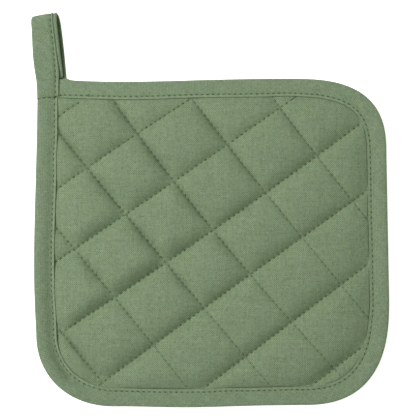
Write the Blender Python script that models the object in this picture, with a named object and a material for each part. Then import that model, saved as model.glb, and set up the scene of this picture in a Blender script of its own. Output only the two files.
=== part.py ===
"""A quilted cloth pot holder with a taped edge and a hanging loop at one corner.

The pot holder lies on its back. +X is its right side, +Y the side with the hanging loop and +Z
points up from the surface. The origin is on the surface, under the middle of the whole outline.
Plan sizes below are millimetres from that middle, and heights are millimetres above the surface.

Pieces, as they are sewn:
  quilted_pad   two face cloths over a filling, stitched through along crossing diagonals
  edge_binding  a tape folded round the pad's edge, from the loop's corner round to it again
  hanging_loop  the same folded tape run on past the corner, doubled back and sewn down behind
"""
import math
from collections import namedtuple

import bmesh
import bpy
from mathutils import Vector
from mathutils.geometry import delaunay_2d_cdt

MM = 0.001

# ---------------------------------------------------------------- heights and thicknesses
MID_PLANE = 5.5          # height of the pad's middle layer
CREST_RISE = 4.9         # from the middle layer to the top of a full puff
BACK_CREST_RISE = 6.1    # the same on the back, before the puff is pressed flat by the surface
SEWN_HALF = 1.2          # half the pad's thickness where it is sewn or taped
CLOTH_GAP = 0.3          # space kept between two pieces that touch
TAPE_WALL = 1.0          # the tape's cloth, doubled over on itself
RIM_INSET = 2.2          # from the tape's outer edge in to the pad's own edge
SEAM_REACH = 4.4         # how far from a seam the puff has risen by two thirds
EDGE_REACH = 3.0         # the same from the tape's inner fold

# ---------------------------------------------------------------- outline
# The four sides, clockwise from the looped corner. A side runs from `start` to `end` and swells
# past that line by `bow` (inward if negative), most at the share `peak` of its length. The tape
# covers `tape` of the pad there, measured in from the edge.
Side = namedtuple("Side", "name start end bow peak tape")
SIDES = (
    Side("top", (-107.0, 81.9), (49.6, 81.7), -2.3, 0.33, 11.3),
    Side("right", (109.6, 33.7), (111.3, -55.6), 0.0, 0.50, 11.9),
    Side("bottom", (55.8, -120.8), (-58.2, -121.6), 0.9, 0.60, 11.2),
    Side("left", (-107.7, -75.5), (-106.9, 81.9), 1.6, 0.30, 12.6),
)
TOP_SIDE, LEFT_SIDE = SIDES[0], SIDES[-1]
# How square the round corner after each side is: 2 is an ellipse, more is squarer.
CORNER_SQUARENESS = {"top": 2.6, "right": 2.6, "bottom": 2.15}
SIDE_STEP = 9.0          # spacing of the outline's points along a side
CORNER_STEPS = 12        # outline pieces round a corner

TAPE_START_X = -93.2     # the tape's first end, beside the loop
CROSS_SEAM_Y = 69.5      # the seam that crosses the tape below the loop
CUT_CLEARANCE = 1.0      # outline points this near a cut end of the tape are left out
PAD_CORNER_RADIUS = 3.0  # the pad's corner under the loop

# ---------------------------------------------------------------- tape section
EDGE_ROUNDING = 2.0      # how far in from the edge the folded tape is rounded
EDGE_ANGLES = (18, 52, 90)       # the rounding's points, in degrees up from the middle layer
INNER_ROUNDING = 1.0     # the same inside the fold
INNER_ANGLES = (90, 30)
STITCH_INSET = 2.3       # from the tape's inner fold out to its stitch line
STITCH_GROOVE = (1.0, 0.35)      # half the width and the depth of the groove along the stitches
FOLD_DROP = 0.25         # how far the tape's inner fold lies below its face

# ---------------------------------------------------------------- quilting
# Each seam runs from `start` to `end`, where it meets the tape, and its middle hangs `sag` towards
# -Y from the straight line. `pull` is how deep it draws the cloth in at its two ends, from 0 to 1.
Seam = namedtuple("Seam", "name start end sag pull")
SEAMS = (
    Seam("rising_1", (-93.3, 59.1), (-80.6, 67.6), 0.0, (0.55, 0.45)),
    Seam("rising_2", (-95.7, 13.3), (-13.1, 69.1), 0.6, (0.85, 0.55)),
    Seam("rising_3", (-95.7, -31.4), (49.6, 68.8), 1.5, (0.92, 0.80)),
    Seam("rising_4", (-94.3, -78.5), (93.4, 53.6), 1.5, (0.95, 0.85)),
    Seam("rising_5", (-67.9, -106.8), (97.7, 12.2), -0.4, (0.92, 0.90)),
    Seam("rising_6", (-3.9, -110.6), (98.9, -33.9), -1.0, (0.92, 0.90)),
    Seam("rising_7", (62.8, -108.3), (93.8, -85.4), 0.0, (0.85, 0.85)),
    Seam("falling_1", (-94.9, -71.9), (-67.9, -106.8), 0.0, (0.95, 0.75)),
    Seam("falling_2", (-96.1, -8.4), (-14.3, -110.7), -0.8, (0.85, 0.60)),
    Seam("falling_3", (-94.1, 49.8), (38.8, -110.2), 1.2, (0.95, 0.55)),
    Seam("falling_4", (-60.8, 68.4), (82.6, -102.9), 3.7, (0.92, 0.50)),
    Seam("falling_5", (-10.8, 69.6), (98.1, -64.5), 2.2, (0.90, 0.50)),
    Seam("falling_6", (38.2, 70.3), (96.9, -5.6), 0.5, (0.85, 0.60)),
)
SEAM_STEP = 6.0          # spacing of the mesh points along a seam
SHOULDER_OFFSETS = (-3.0, 3.0)   # rows of mesh points beside a seam, where the cloth turns up
FILL_STEP = 8.0          # spacing of the mesh points on the rest of a puff
CLEAR_OF_SEAM = 5.0      # a filling point stays this far from a seam
CLEAR_OF_SHOULDER = 2.0  # a shoulder point stays this far from any other seam
CLEAR_OF_FOLD = 1.4      # every point stays this far inside the tape's fold
MERGE_WITHIN = 1e-4      # plan points closer than this are one point

# ---------------------------------------------------------------- hanging loop
# Sections along the loop's tape, from the cross seam, up over the corner, round the end and back
# to the cross seam behind. `y`, `z` and `left` place the section, `width` is the half of the tape
# outside the loop and `under` how far the other half stands out past it. `skew` is how much
# further from the pad the right edge lies than the left one, and `spread` parts the two halves.
Section = namedtuple("Section", "y z left width under skew spread")
LOOP_SECTIONS = (
    Section(69.8, 5.50, -107.2, 13.6, 0.0, 0.0, 3.0),
    Section(75.0, 5.50, -107.4, 13.8, 0.0, 0.0, 3.0),
    Section(81.9, 5.50, -107.9, 14.3, 0.0, 0.2, 3.0),
    Section(84.6, 5.90, -108.2, 14.8, 1.8, 0.6, 2.6),
    Section(89.0, 7.10, -108.9, 14.9, 2.0, 1.0, 1.3),
    Section(95.7, 8.60, -109.5, 14.4, 2.4, 1.0, 0.4),
    Section(104.0, 9.50, -109.8, 13.8, 2.4, 1.0, 0.3),
    Section(112.0, 9.70, -110.2, 13.3, 2.4, 1.4, 0.3),
    Section(116.6, 9.20, -110.6, 13.2, 2.4, 2.0, 0.3),
    Section(119.3, 6.90, -110.5, 13.2, 2.4, 2.4, 0.3),
    Section(119.5, 3.90, -110.0, 13.2, 2.4, 2.4, 0.3),
    Section(117.4, 1.70, -109.2, 13.3, 2.4, 2.2, 0.3),
    Section(112.5, 1.15, -108.3, 13.6, 2.3, 1.9, 0.3),
    Section(100.0, 1.15, -106.8, 13.9, 2.2, 1.8, 0.3),
    Section(88.0, 1.20, -105.6, 14.0, 2.2, 1.6, 0.3),
    Section(80.0, 1.55, -105.0, 14.0, 2.2, 0.8, 0.3),
    Section(71.0, 1.55, -104.8, 14.0, 2.2, 0.0, 0.3),
)
LOOP_STEPS = 3           # mesh rings from one section to the next
LOOP_FOLD_ROUNDING = 0.35        # how far the loop's outer fold is rounded

# ---------------------------------------------------------------- cloth colours (linear RGB)
CLOTHS = {
    "quilted_pad": ("face_cloth", (0.205, 0.270, 0.163)),
    "edge_binding": ("edge_tape", (0.200, 0.262, 0.166)),
    "hanging_loop": ("loop_tape", (0.205, 0.266, 0.170)),
}
CLOTH_ROUGHNESS = 0.92
SMOOTH_BELOW = math.radians(40)


# ================================================================ outline and tape
def side_point(side, share):
    """A point on a side, at a share of its length, with its bow."""
    start, end = Vector(side.start), Vector(side.end)
    along = end - start
    outward = Vector((-along.y, along.x)).normalized()
    bend = math.sin(math.pi * share ** (math.log(0.5) / math.log(side.peak))) ** 2
    return start + along * share + outward * (side.bow * bend)


def corner_point(side, following, share):
    """A point on the round corner between two sides."""
    leave, arrive = Vector(side.end), Vector(following.start)
    runs_across = side.name in ("top", "bottom")
    centre = Vector((leave.x, arrive.y)) if runs_across else Vector((arrive.x, leave.y))
    power = 2 / CORNER_SQUARENESS[side.name]
    angle = share * math.pi / 2
    fade = max(math.cos(angle), 0.0) ** power
    grow = math.sin(angle) ** power
    return centre + (leave - centre) * fade + (arrive - centre) * grow


def tape_path():
    """Stations along the pad's edge: point, inward direction and the tape's width there."""
    points = []
    for index, side in enumerate(SIDES):
        length = (Vector(side.end) - Vector(side.start)).length
        steps = round(length / SIDE_STEP)
        points += [(side_point(side, i / steps), side.tape) for i in range(steps + 1)]
        if side.name in CORNER_SQUARENESS:
            following = SIDES[index + 1]
            for i in range(1, CORNER_STEPS):
                share = i / CORNER_STEPS
                width = side.tape + (following.tape - side.tape) * share
                points.append((corner_point(side, following, share), width))
    first = Vector((TAPE_START_X, top_side_y(points, TAPE_START_X)))
    last_y = CROSS_SEAM_Y - CLOTH_GAP
    last = Vector((LEFT_SIDE.end[0], last_y))
    body = [p for p in points if not in_loop_corner(p[0], last_y)]
    body = [(first, TOP_SIDE.tape)] + body + [(last, LEFT_SIDE.tape)]
    return [(p, inward_at(body, i), w) for i, (p, w) in enumerate(body)]


def top_side_y(points, x):
    """Where the top side is at x."""
    tops = [p for p, _ in points if p.y > 0]
    left = max((p for p in tops if p.x <= x), key=lambda p: p.x)
    right = min((p for p in tops if p.x > x), key=lambda p: p.x)
    return left.y + (right.y - left.y) * (x - left.x) / (right.x - left.x)


def in_loop_corner(point, last_y):
    """Whether a point belongs to the corner that the loop's tape covers."""
    return point.x < TAPE_START_X + CUT_CLEARANCE and point.y > last_y - CUT_CLEARANCE


def inward_at(stations, index):
    """The direction from a station into the pad; the tape's two ends are cut square."""
    if index == 0:
        return Vector((0, -1))
    if index == len(stations) - 1:
        return Vector((1, 0))
    along = (stations[index + 1][0] - stations[index - 1][0]).normalized()
    return Vector((along.y, -along.x))


def inset(stations, distance=0.0, past_tape=None):
    """The stations' points moved into the pad, by a distance or to just past the tape."""
    if past_tape is not None:
        return [p + n * (w + past_tape) for p, n, w in stations]
    return [p + n * distance for p, n, w in stations]


# ================================================================ quilted pad
class QuiltFace:
    """The quilted face's seams and height, over the area inside the tape."""

    def __init__(self, fold):
        self.fold = fold
        self.seams = [SeamLine(row) for row in SEAMS]

    def fold_distance(self, point):
        """How far a point lies inside the tape's inner fold, or 0 outside it."""
        inside = False
        nearest = math.inf
        for a, b in zip(self.fold, self.fold[1:] + self.fold[:1]):
            if (a.y > point.y) != (b.y > point.y):
                inside ^= point.x < a.x + (b.x - a.x) * (point.y - a.y) / (b.y - a.y)
            along = b - a
            share = max(0.0, min(1.0, (point - a).dot(along) / along.length_squared))
            nearest = min(nearest, (point - a - along * share).length)
        return nearest if inside else 0.0

    def fullness(self, point):
        """How full the puff is at a point, from 0 on the tape's fold to 1."""
        full = 1 - math.exp(-self.fold_distance(point) / EDGE_REACH)
        for seam in self.seams:
            distance, share = seam.measure(point)
            full *= 1 - seam.pull_at(share) * math.exp(-abs(distance) / SEAM_REACH)
        return full


class SeamLine:
    """One quilting seam: a shallow bow between its two ends."""

    def __init__(self, row):
        self.row = row
        self.start = Vector(row.start)
        self.along = Vector(row.end) - self.start
        self.length = self.along.length
        side = Vector((self.along.y, -self.along.x)) / self.length
        self.down = side if side.y < 0 else -side

    def point(self, share, offset=0.0):
        """A point on the seam, or beside it."""
        hang = self.row.sag * 4 * share * (1 - share)
        return self.start + self.along * share + self.down * (hang + offset)

    def measure(self, point):
        """The distance of a point from the seam, and its share of the seam's length."""
        way = point - self.start
        share = max(0.0, min(1.0, way.dot(self.along) / self.length ** 2))
        return way.dot(self.down) - self.row.sag * 4 * share * (1 - share), share

    def pull_at(self, share):
        """How hard the seam draws the cloth in there."""
        first, last = self.row.pull
        return first + (last - first) * share


def plan_points(face):
    """Points of the pad's plan inside the tape's fold, and the edges that follow its seams."""
    points = []
    edges = []
    for seam in face.seams:
        steps = max(2, round(seam.length / SEAM_STEP))
        previous = None
        for i in range(steps + 1):
            spot = seam.point(i / steps)
            if face.fold_distance(spot) < CLEAR_OF_FOLD:
                previous = None
                continue
            points.append(spot)
            if previous is not None:
                edges.append((previous, len(points) - 1))
            previous = len(points) - 1
        for offset in SHOULDER_OFFSETS:
            for i in range(steps):
                spot = seam.point((i + 0.5) / steps, offset)
                others = [s for s in face.seams if s is not seam]
                clear = all(abs(s.measure(spot)[0]) > CLEAR_OF_SHOULDER for s in others)
                if clear and face.fold_distance(spot) > CLEAR_OF_FOLD:
                    points.append(spot)
    return points + fill_points(face), edges


def fill_points(face):
    """A staggered net of points over the puffs, away from the seams."""
    left = min(p.x for p in face.fold)
    low = min(p.y for p in face.fold)
    columns = int((max(p.x for p in face.fold) - left) / FILL_STEP) + 1
    row_step = FILL_STEP * math.sqrt(0.75)
    rows = int((max(p.y for p in face.fold) - low) / row_step) + 1
    points = []
    for row in range(rows):
        for column in range(columns):
            spot = Vector((left + (column + row % 2 / 2) * FILL_STEP, low + row * row_step))
            clear = all(abs(seam.measure(spot)[0]) > CLEAR_OF_SEAM for seam in face.seams)
            if clear and face.fold_distance(spot) > 2 * CLEAR_OF_FOLD:
                points.append(spot)
    return points


def pad_outline(stations):
    """The pad's own edge inside the tape, with its corner under the loop."""
    left = LEFT_SIDE.end[0] + RIM_INSET + PAD_CORNER_RADIUS
    top = TOP_SIDE.start[1] - RIM_INSET - PAD_CORNER_RADIUS
    corner = []
    for degrees in (180, 135, 90):
        turn = math.radians(degrees)
        reach = Vector((math.cos(turn), math.sin(turn))) * PAD_CORNER_RADIUS
        corner.append(Vector((left, top)) + reach)
    return inset(stations, RIM_INSET) + corner


def build_pad(stations):
    """The filled pad: a net of points over its plan, raised on the front and on the back."""
    fold = inset(stations, past_tape=CLOTH_GAP)
    face = QuiltFace(fold)
    rim = pad_outline(stations)[::-1]
    points, seam_edges = plan_points(face)
    plan = rim + fold + points
    first_fold, first_point = len(rim), len(rim) + len(fold)
    fold_edges = [(first_fold + i, first_fold + (i + 1) % len(fold)) for i in range(len(fold))]
    edges = fold_edges + [(a + first_point, b + first_point) for a, b in seam_edges]
    spots, _, faces, *_ = delaunay_2d_cdt(plan, edges, [list(range(len(rim)))], 1, MERGE_WITHIN)

    mesh = bmesh.new()
    front = []
    back = []
    for spot in spots:
        full = face.fullness(spot)
        rise = SEWN_HALF + (CREST_RISE - SEWN_HALF) * full
        drop = SEWN_HALF + (BACK_CREST_RISE - SEWN_HALF) * full
        front.append(mesh.verts.new((spot.x, spot.y, MID_PLANE + rise)))
        back.append(mesh.verts.new((spot.x, spot.y, max(0.0, MID_PLANE - drop))))
    for corners in faces:
        mesh.faces.new([front[i] for i in corners])
        mesh.faces.new([back[i] for i in reversed(corners)])
    open_edges = [e for e in mesh.edges if len(e.link_faces) == 1]
    twin = dict(zip(front, back)) | dict(zip(back, front))
    for edge in open_edges:
        a, b = edge.verts
        if a.co.z > MID_PLANE:
            mesh.faces.new((a, b, twin[b], twin[a]))
    return mesh


# ================================================================ taped edge
def tape_section(width):
    """The folded tape's section: distance in from the edge, and height over the middle layer."""
    inside = SEWN_HALF + CLOTH_GAP
    outside = inside + TAPE_WALL
    stitch = width - STITCH_INSET
    groove_half, groove_depth = STITCH_GROOVE
    face = [
        (stitch - groove_half, outside),
        (stitch, outside - groove_depth),
        (stitch + groove_half, outside),
        (width, outside - FOLD_DROP),
        (width, inside),
    ]
    edge = rounding(0.0, EDGE_ROUNDING, outside, EDGE_ANGLES)
    lining = rounding(TAPE_WALL, INNER_ROUNDING, inside, INNER_ANGLES)
    upper = edge + face + lining
    return upper + [(depth, -height) for depth, height in reversed(upper)]


def rounding(depth, reach, height, angles):
    """Points of a quarter ellipse that rises from the middle layer as it goes in."""
    turns = [math.radians(angle) for angle in angles]
    return [(depth + reach * (1 - math.cos(turn)), height * math.sin(turn)) for turn in turns]


def build_binding(stations):
    """The tape folded round the pad's edge, from beside the loop to the cross seam."""
    rings = []
    for point, inward, width in stations:
        ring = []
        for depth, height in tape_section(width):
            spot = point + inward * depth
            ring.append((spot.x, spot.y, MID_PLANE + height))
        rings.append(ring)
    return swept(rings)


def swept(rings):
    """A closed body through a row of like sections, with a flat cap at each end."""
    mesh = bmesh.new()
    rows = [[mesh.verts.new(spot) for spot in ring] for ring in rings]
    for row, following in zip(rows, rows[1:]):
        for i in range(len(row)):
            j = (i + 1) % len(row)
            mesh.faces.new((row[i], row[j], following[j], following[i]))
    mesh.faces.new(rows[0][::-1])
    mesh.faces.new(rows[-1])
    return mesh


# ================================================================ hanging loop
def loop_sections():
    """The loop's sections, with smooth ones worked out between the rows of its table."""
    rows = [LOOP_SECTIONS[0]] + list(LOOP_SECTIONS) + [LOOP_SECTIONS[-1]]
    smooth = []
    for before, a, b, after in zip(rows, rows[1:], rows[2:], rows[3:]):
        for step in range(LOOP_STEPS):
            share = step / LOOP_STEPS
            section = Section(*[between(*values, share) for values in zip(before, a, b, after)])
            lying = section.spread / 2 + TAPE_WALL
            smooth.append(section._replace(z=max(section.z, lying)))
    return smooth + [LOOP_SECTIONS[-1]]


def between(before, a, b, after, share):
    """A value on the smooth curve from a to b."""
    rate_a = (b - before) / 2
    rate_b = (after - a) / 2
    square = share * share
    cube = square * share
    return ((2 * cube - 3 * square + 1) * a + (cube - 2 * square + share) * rate_a
            + (3 * square - 2 * cube) * b + (cube - square) * rate_b)


def build_loop():
    """The loop's folded tape, swept along its sections."""
    sections = loop_sections()
    rings = []
    for i, section in enumerate(sections):
        before = sections[max(i - 1, 0)]
        after = sections[min(i + 1, len(sections) - 1)]
        along = Vector((after.y - before.y, after.z - before.z)).normalized()
        rings.append(loop_ring(section, Vector((-along.y, along.x))))
    return swept(rings)


def loop_ring(section, outward):
    """One section of the loop: two halves of the tape joined by a fold on the left."""
    inside = section.spread / 2
    outside = inside + TAPE_WALL
    wide = section.width + section.under
    profile = [
        (section.width, inside),
        (section.width, outside),
        (TAPE_WALL, outside),
        (LOOP_FOLD_ROUNDING, outside - LOOP_FOLD_ROUNDING),
        (0.0, inside / 2),
        (0.0, -inside / 2),
        (LOOP_FOLD_ROUNDING, -outside + LOOP_FOLD_ROUNDING),
        (TAPE_WALL, -outside),
        (wide, -outside),
        (wide, -inside),
        (TAPE_WALL + CLOTH_GAP, -inside),
        (TAPE_WALL, 0.0),
        (TAPE_WALL + CLOTH_GAP, inside),
    ]
    ring = []
    for across, out in profile:
        lead = section.skew * (across / section.width - 0.5)
        ring.append((
            section.left + across,
            section.y + lead + outward.x * out,
            section.z + outward.y * out,
        ))
    return ring


# ================================================================ objects
def cloth_material(name, colour):
    """A matt cloth material."""
    material = bpy.data.materials.new(name)
    material.use_nodes = True
    shader = material.node_tree.nodes["Principled BSDF"]
    shader.inputs["Base Color"].default_value = (*colour, 1.0)
    shader.inputs["Roughness"].default_value = CLOTH_ROUGHNESS
    shader.inputs["Metallic"].default_value = 0.0
    material.diffuse_color = (*colour, 1.0)
    return material


def add_piece(name, shape):
    """Turns a shape in millimetres into a named object in metres."""
    bmesh.ops.scale(shape, vec=(MM, MM, MM), verts=shape.verts)
    bmesh.ops.recalc_face_normals(shape, faces=shape.faces)
    mesh = bpy.data.meshes.new(name)
    shape.to_mesh(mesh)
    shape.free()
    mesh.shade_smooth()
    mesh.set_sharp_from_angle(angle=SMOOTH_BELOW)
    mesh.materials.append(cloth_material(*CLOTHS[name]))
    piece = bpy.data.objects.new(name, mesh)
    bpy.context.collection.objects.link(piece)
    return piece


def centre_on_origin(pieces):
    """Moves the finished pieces so that the origin is under the middle of their outline."""
    spots = [vertex.co for piece in pieces for vertex in piece.data.vertices]
    low = Vector([min(spot[axis] for spot in spots) for axis in range(3)])
    high = Vector([max(spot[axis] for spot in spots) for axis in range(3)])
    shift = Vector((-(low.x + high.x) / 2, -(low.y + high.y) / 2, -low.z))
    for piece in pieces:
        for vertex in piece.data.vertices:
            vertex.co += shift


def main():
    """Builds the pot holder."""
    for old in list(bpy.data.objects):
        bpy.data.objects.remove(old)
    stations = tape_path()
    centre_on_origin([
        add_piece("quilted_pad", build_pad(stations)),
        add_piece("edge_binding", build_binding(stations)),
        add_piece("hanging_loop", build_loop()),
    ])


main()
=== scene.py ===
"""How a quilted cloth pot holder looks: its quilted cloth, taped edge, hanging loop and sewing.

The pot holder lies on its back, with +X to its right, +Y towards its hanging loop and +Z up. Sizes
below are millimetres. Plan sizes are measured from the middle of the pattern, which `Pattern`
places on the frame, and heights are measured from the surface that it lies on.
"""
import logging
import math
from dataclasses import dataclass, field
from enum import Enum
from typing import Any

import bpy
import numpy as np
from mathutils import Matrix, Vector
from mathutils.geometry import delaunay_2d_cdt
from mathutils.kdtree import KDTree


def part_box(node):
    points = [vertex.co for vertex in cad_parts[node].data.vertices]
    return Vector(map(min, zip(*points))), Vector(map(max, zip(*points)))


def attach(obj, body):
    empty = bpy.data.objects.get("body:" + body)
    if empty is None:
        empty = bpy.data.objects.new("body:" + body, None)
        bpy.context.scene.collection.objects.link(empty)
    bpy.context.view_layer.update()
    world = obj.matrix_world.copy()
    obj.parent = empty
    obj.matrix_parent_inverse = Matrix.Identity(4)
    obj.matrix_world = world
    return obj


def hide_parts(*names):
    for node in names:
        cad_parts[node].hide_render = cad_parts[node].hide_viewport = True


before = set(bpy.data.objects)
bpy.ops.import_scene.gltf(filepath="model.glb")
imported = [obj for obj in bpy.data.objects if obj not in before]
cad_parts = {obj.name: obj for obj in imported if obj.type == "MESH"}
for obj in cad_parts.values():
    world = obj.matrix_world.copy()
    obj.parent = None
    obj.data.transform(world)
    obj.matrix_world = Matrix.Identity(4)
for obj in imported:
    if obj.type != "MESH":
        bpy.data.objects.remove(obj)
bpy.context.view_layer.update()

MM = 0.001
LOG = logging.getLogger("pot_holder")

Colour = tuple[float, float, float]
Point = tuple[float, float]

GREY = (0.2, 0.2, 0.2, 1.0)
FAR_ASIDE = 9.0     # stands for any place too far from a row of stitches to show its slots


class Face(Enum):
    """The two faces of the pot holder, with the way each one looks along Z."""

    FRONT = 1.0
    BACK = -1.0


class Grain(Enum):
    """How the threads of a cloth run over a piece, in degrees from the piece's own length."""

    STRAIGHT = 0.0
    BIAS = 45.0


# ================================================================ sewing and thickness
@dataclass(frozen=True)
class Build:
    """Heights and thicknesses that the pieces share."""

    mid_plane: float = 5.5       # height of the pad's middle layer
    crest: float = 4.9           # from the middle layer to the top of a full puff
    back_crest: float = 6.1      # the same on the back, before the surface presses it flat
    sewn_half: float = 1.2       # half the pad's thickness where it is sewn or taped
    cloth_gap: float = 0.3       # space between two pieces that touch
    tape_wall: float = 1.0       # the tape's cloth, doubled over on itself
    edge_rounding: float = 1.0   # from the tape's outer edge in to where it lies flat
    flat_beside: float = 0.85    # how far outside its stitches the tape stops curling
    rim_inset: float = 2.2       # from the tape's outer edge in to the pad's own edge
    stitch_pitch: float = 3.4    # from one needle hole to the next
    stitch_inset: float = 1.7    # from the tape's inner fold out to its stitches
    loop_stitches: float = 11.6  # from the loop's outer edge in to its stitches, by the cross seam
    lean_reach: float = 8.0      # how far from the cross seam the tape still leans along it
    dip_reach: float = 0.9       # and how far the seam draws it in
    end_gain: float = 0.9        # how much of the gap at the cross seam each end of tape takes up

    @property
    def lining(self) -> float:
        """From the middle layer out to the inside of the tape."""
        return self.sewn_half + self.cloth_gap

    @property
    def tape_top(self) -> float:
        """From the middle layer out to the outside of the tape."""
        return self.lining + self.tape_wall


BUILD = Build()


def curl(depth: np.ndarray | float, stitch: np.ndarray | float,
         brow: np.ndarray | float) -> np.ndarray:
    """The height gained at each `depth` in, where the edge's stitches run `stitch` in and the edge
    curls up by `brow`."""
    flat_from = stitch - BUILD.flat_beside - BUILD.edge_rounding
    return brow * (1 - np.clip((depth - BUILD.edge_rounding) / flat_from, 0, 1) ** 2)


# ================================================================ unevenness
@dataclass(frozen=True)
class Unevenness:
    """Smooth seeded noise over a plane, from about -1 to 1, for small folds and uneven puffs."""

    seed: int
    size: float

    def at(self, x: np.ndarray, y: np.ndarray) -> np.ndarray:
        """The noise at some places.

        Args:
            x: One coordinate of each place.
            y: The other coordinate.

        Returns:
            The noise at each place.
        """
        cells = 64
        lattice = np.random.default_rng(self.seed).uniform(-1, 1, (cells, cells))
        u, v = np.broadcast_arrays(np.asarray(x) / self.size, np.asarray(y) / self.size)
        column, row = np.floor(u).astype(int), np.floor(v).astype(int)
        s, t = u - column, v - row
        s, t = s * s * (3 - 2 * s), t * t * (3 - 2 * t)
        corner = [lattice[(column + i) % cells, (row + j) % cells] for i in (0, 1) for j in (0, 1)]
        low = corner[0] * (1 - t) + corner[1] * t
        high = corner[2] * (1 - t) + corner[3] * t
        return low * (1 - s) + high * s


# ================================================================ outline of the pattern
@dataclass(frozen=True)
class Side:
    """A side of the outline, and the round corner after it.

    It runs from `start` to `end` and swells past that line by `bow`, most at the share `peak` of
    its length. The tape covers `tape` of the pad there, and from the side's start to its end it
    curls up by `brow` at its outer edge. By the tape's fold the pad is `half` thick on each side
    of its middle layer, and it goes on rising for `ease` from there. `squareness` shapes the
    corner that follows: 2 is an ellipse, more is squarer, and 0 is no corner. `corner` is how much
    wider the tape is halfway round that corner, and how much greater its brow.
    """

    name: str
    start: Point
    end: Point
    bow: float
    peak: float
    tape: float
    brow: Point
    squareness: float
    ease: float
    half: float
    corner: Point = (0.0, 0.0)


@dataclass
class Stations:
    """Places along the tape: each one's point on the outer edge, the way into the pad there, the
    tape's width and brow, how far in the pad rises, half its thickness by the tape's fold and how
    far along the stitches it is."""

    spots: np.ndarray
    inward: np.ndarray
    widths: np.ndarray
    brows: np.ndarray
    eases: np.ndarray
    halves: np.ndarray
    along: np.ndarray

    def inset(self, depth: float | np.ndarray) -> np.ndarray:
        """The stations' points moved into the pad, all as far or each by its own depth."""
        return self.spots + self.inward * np.reshape(depth, (-1, 1))


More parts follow.
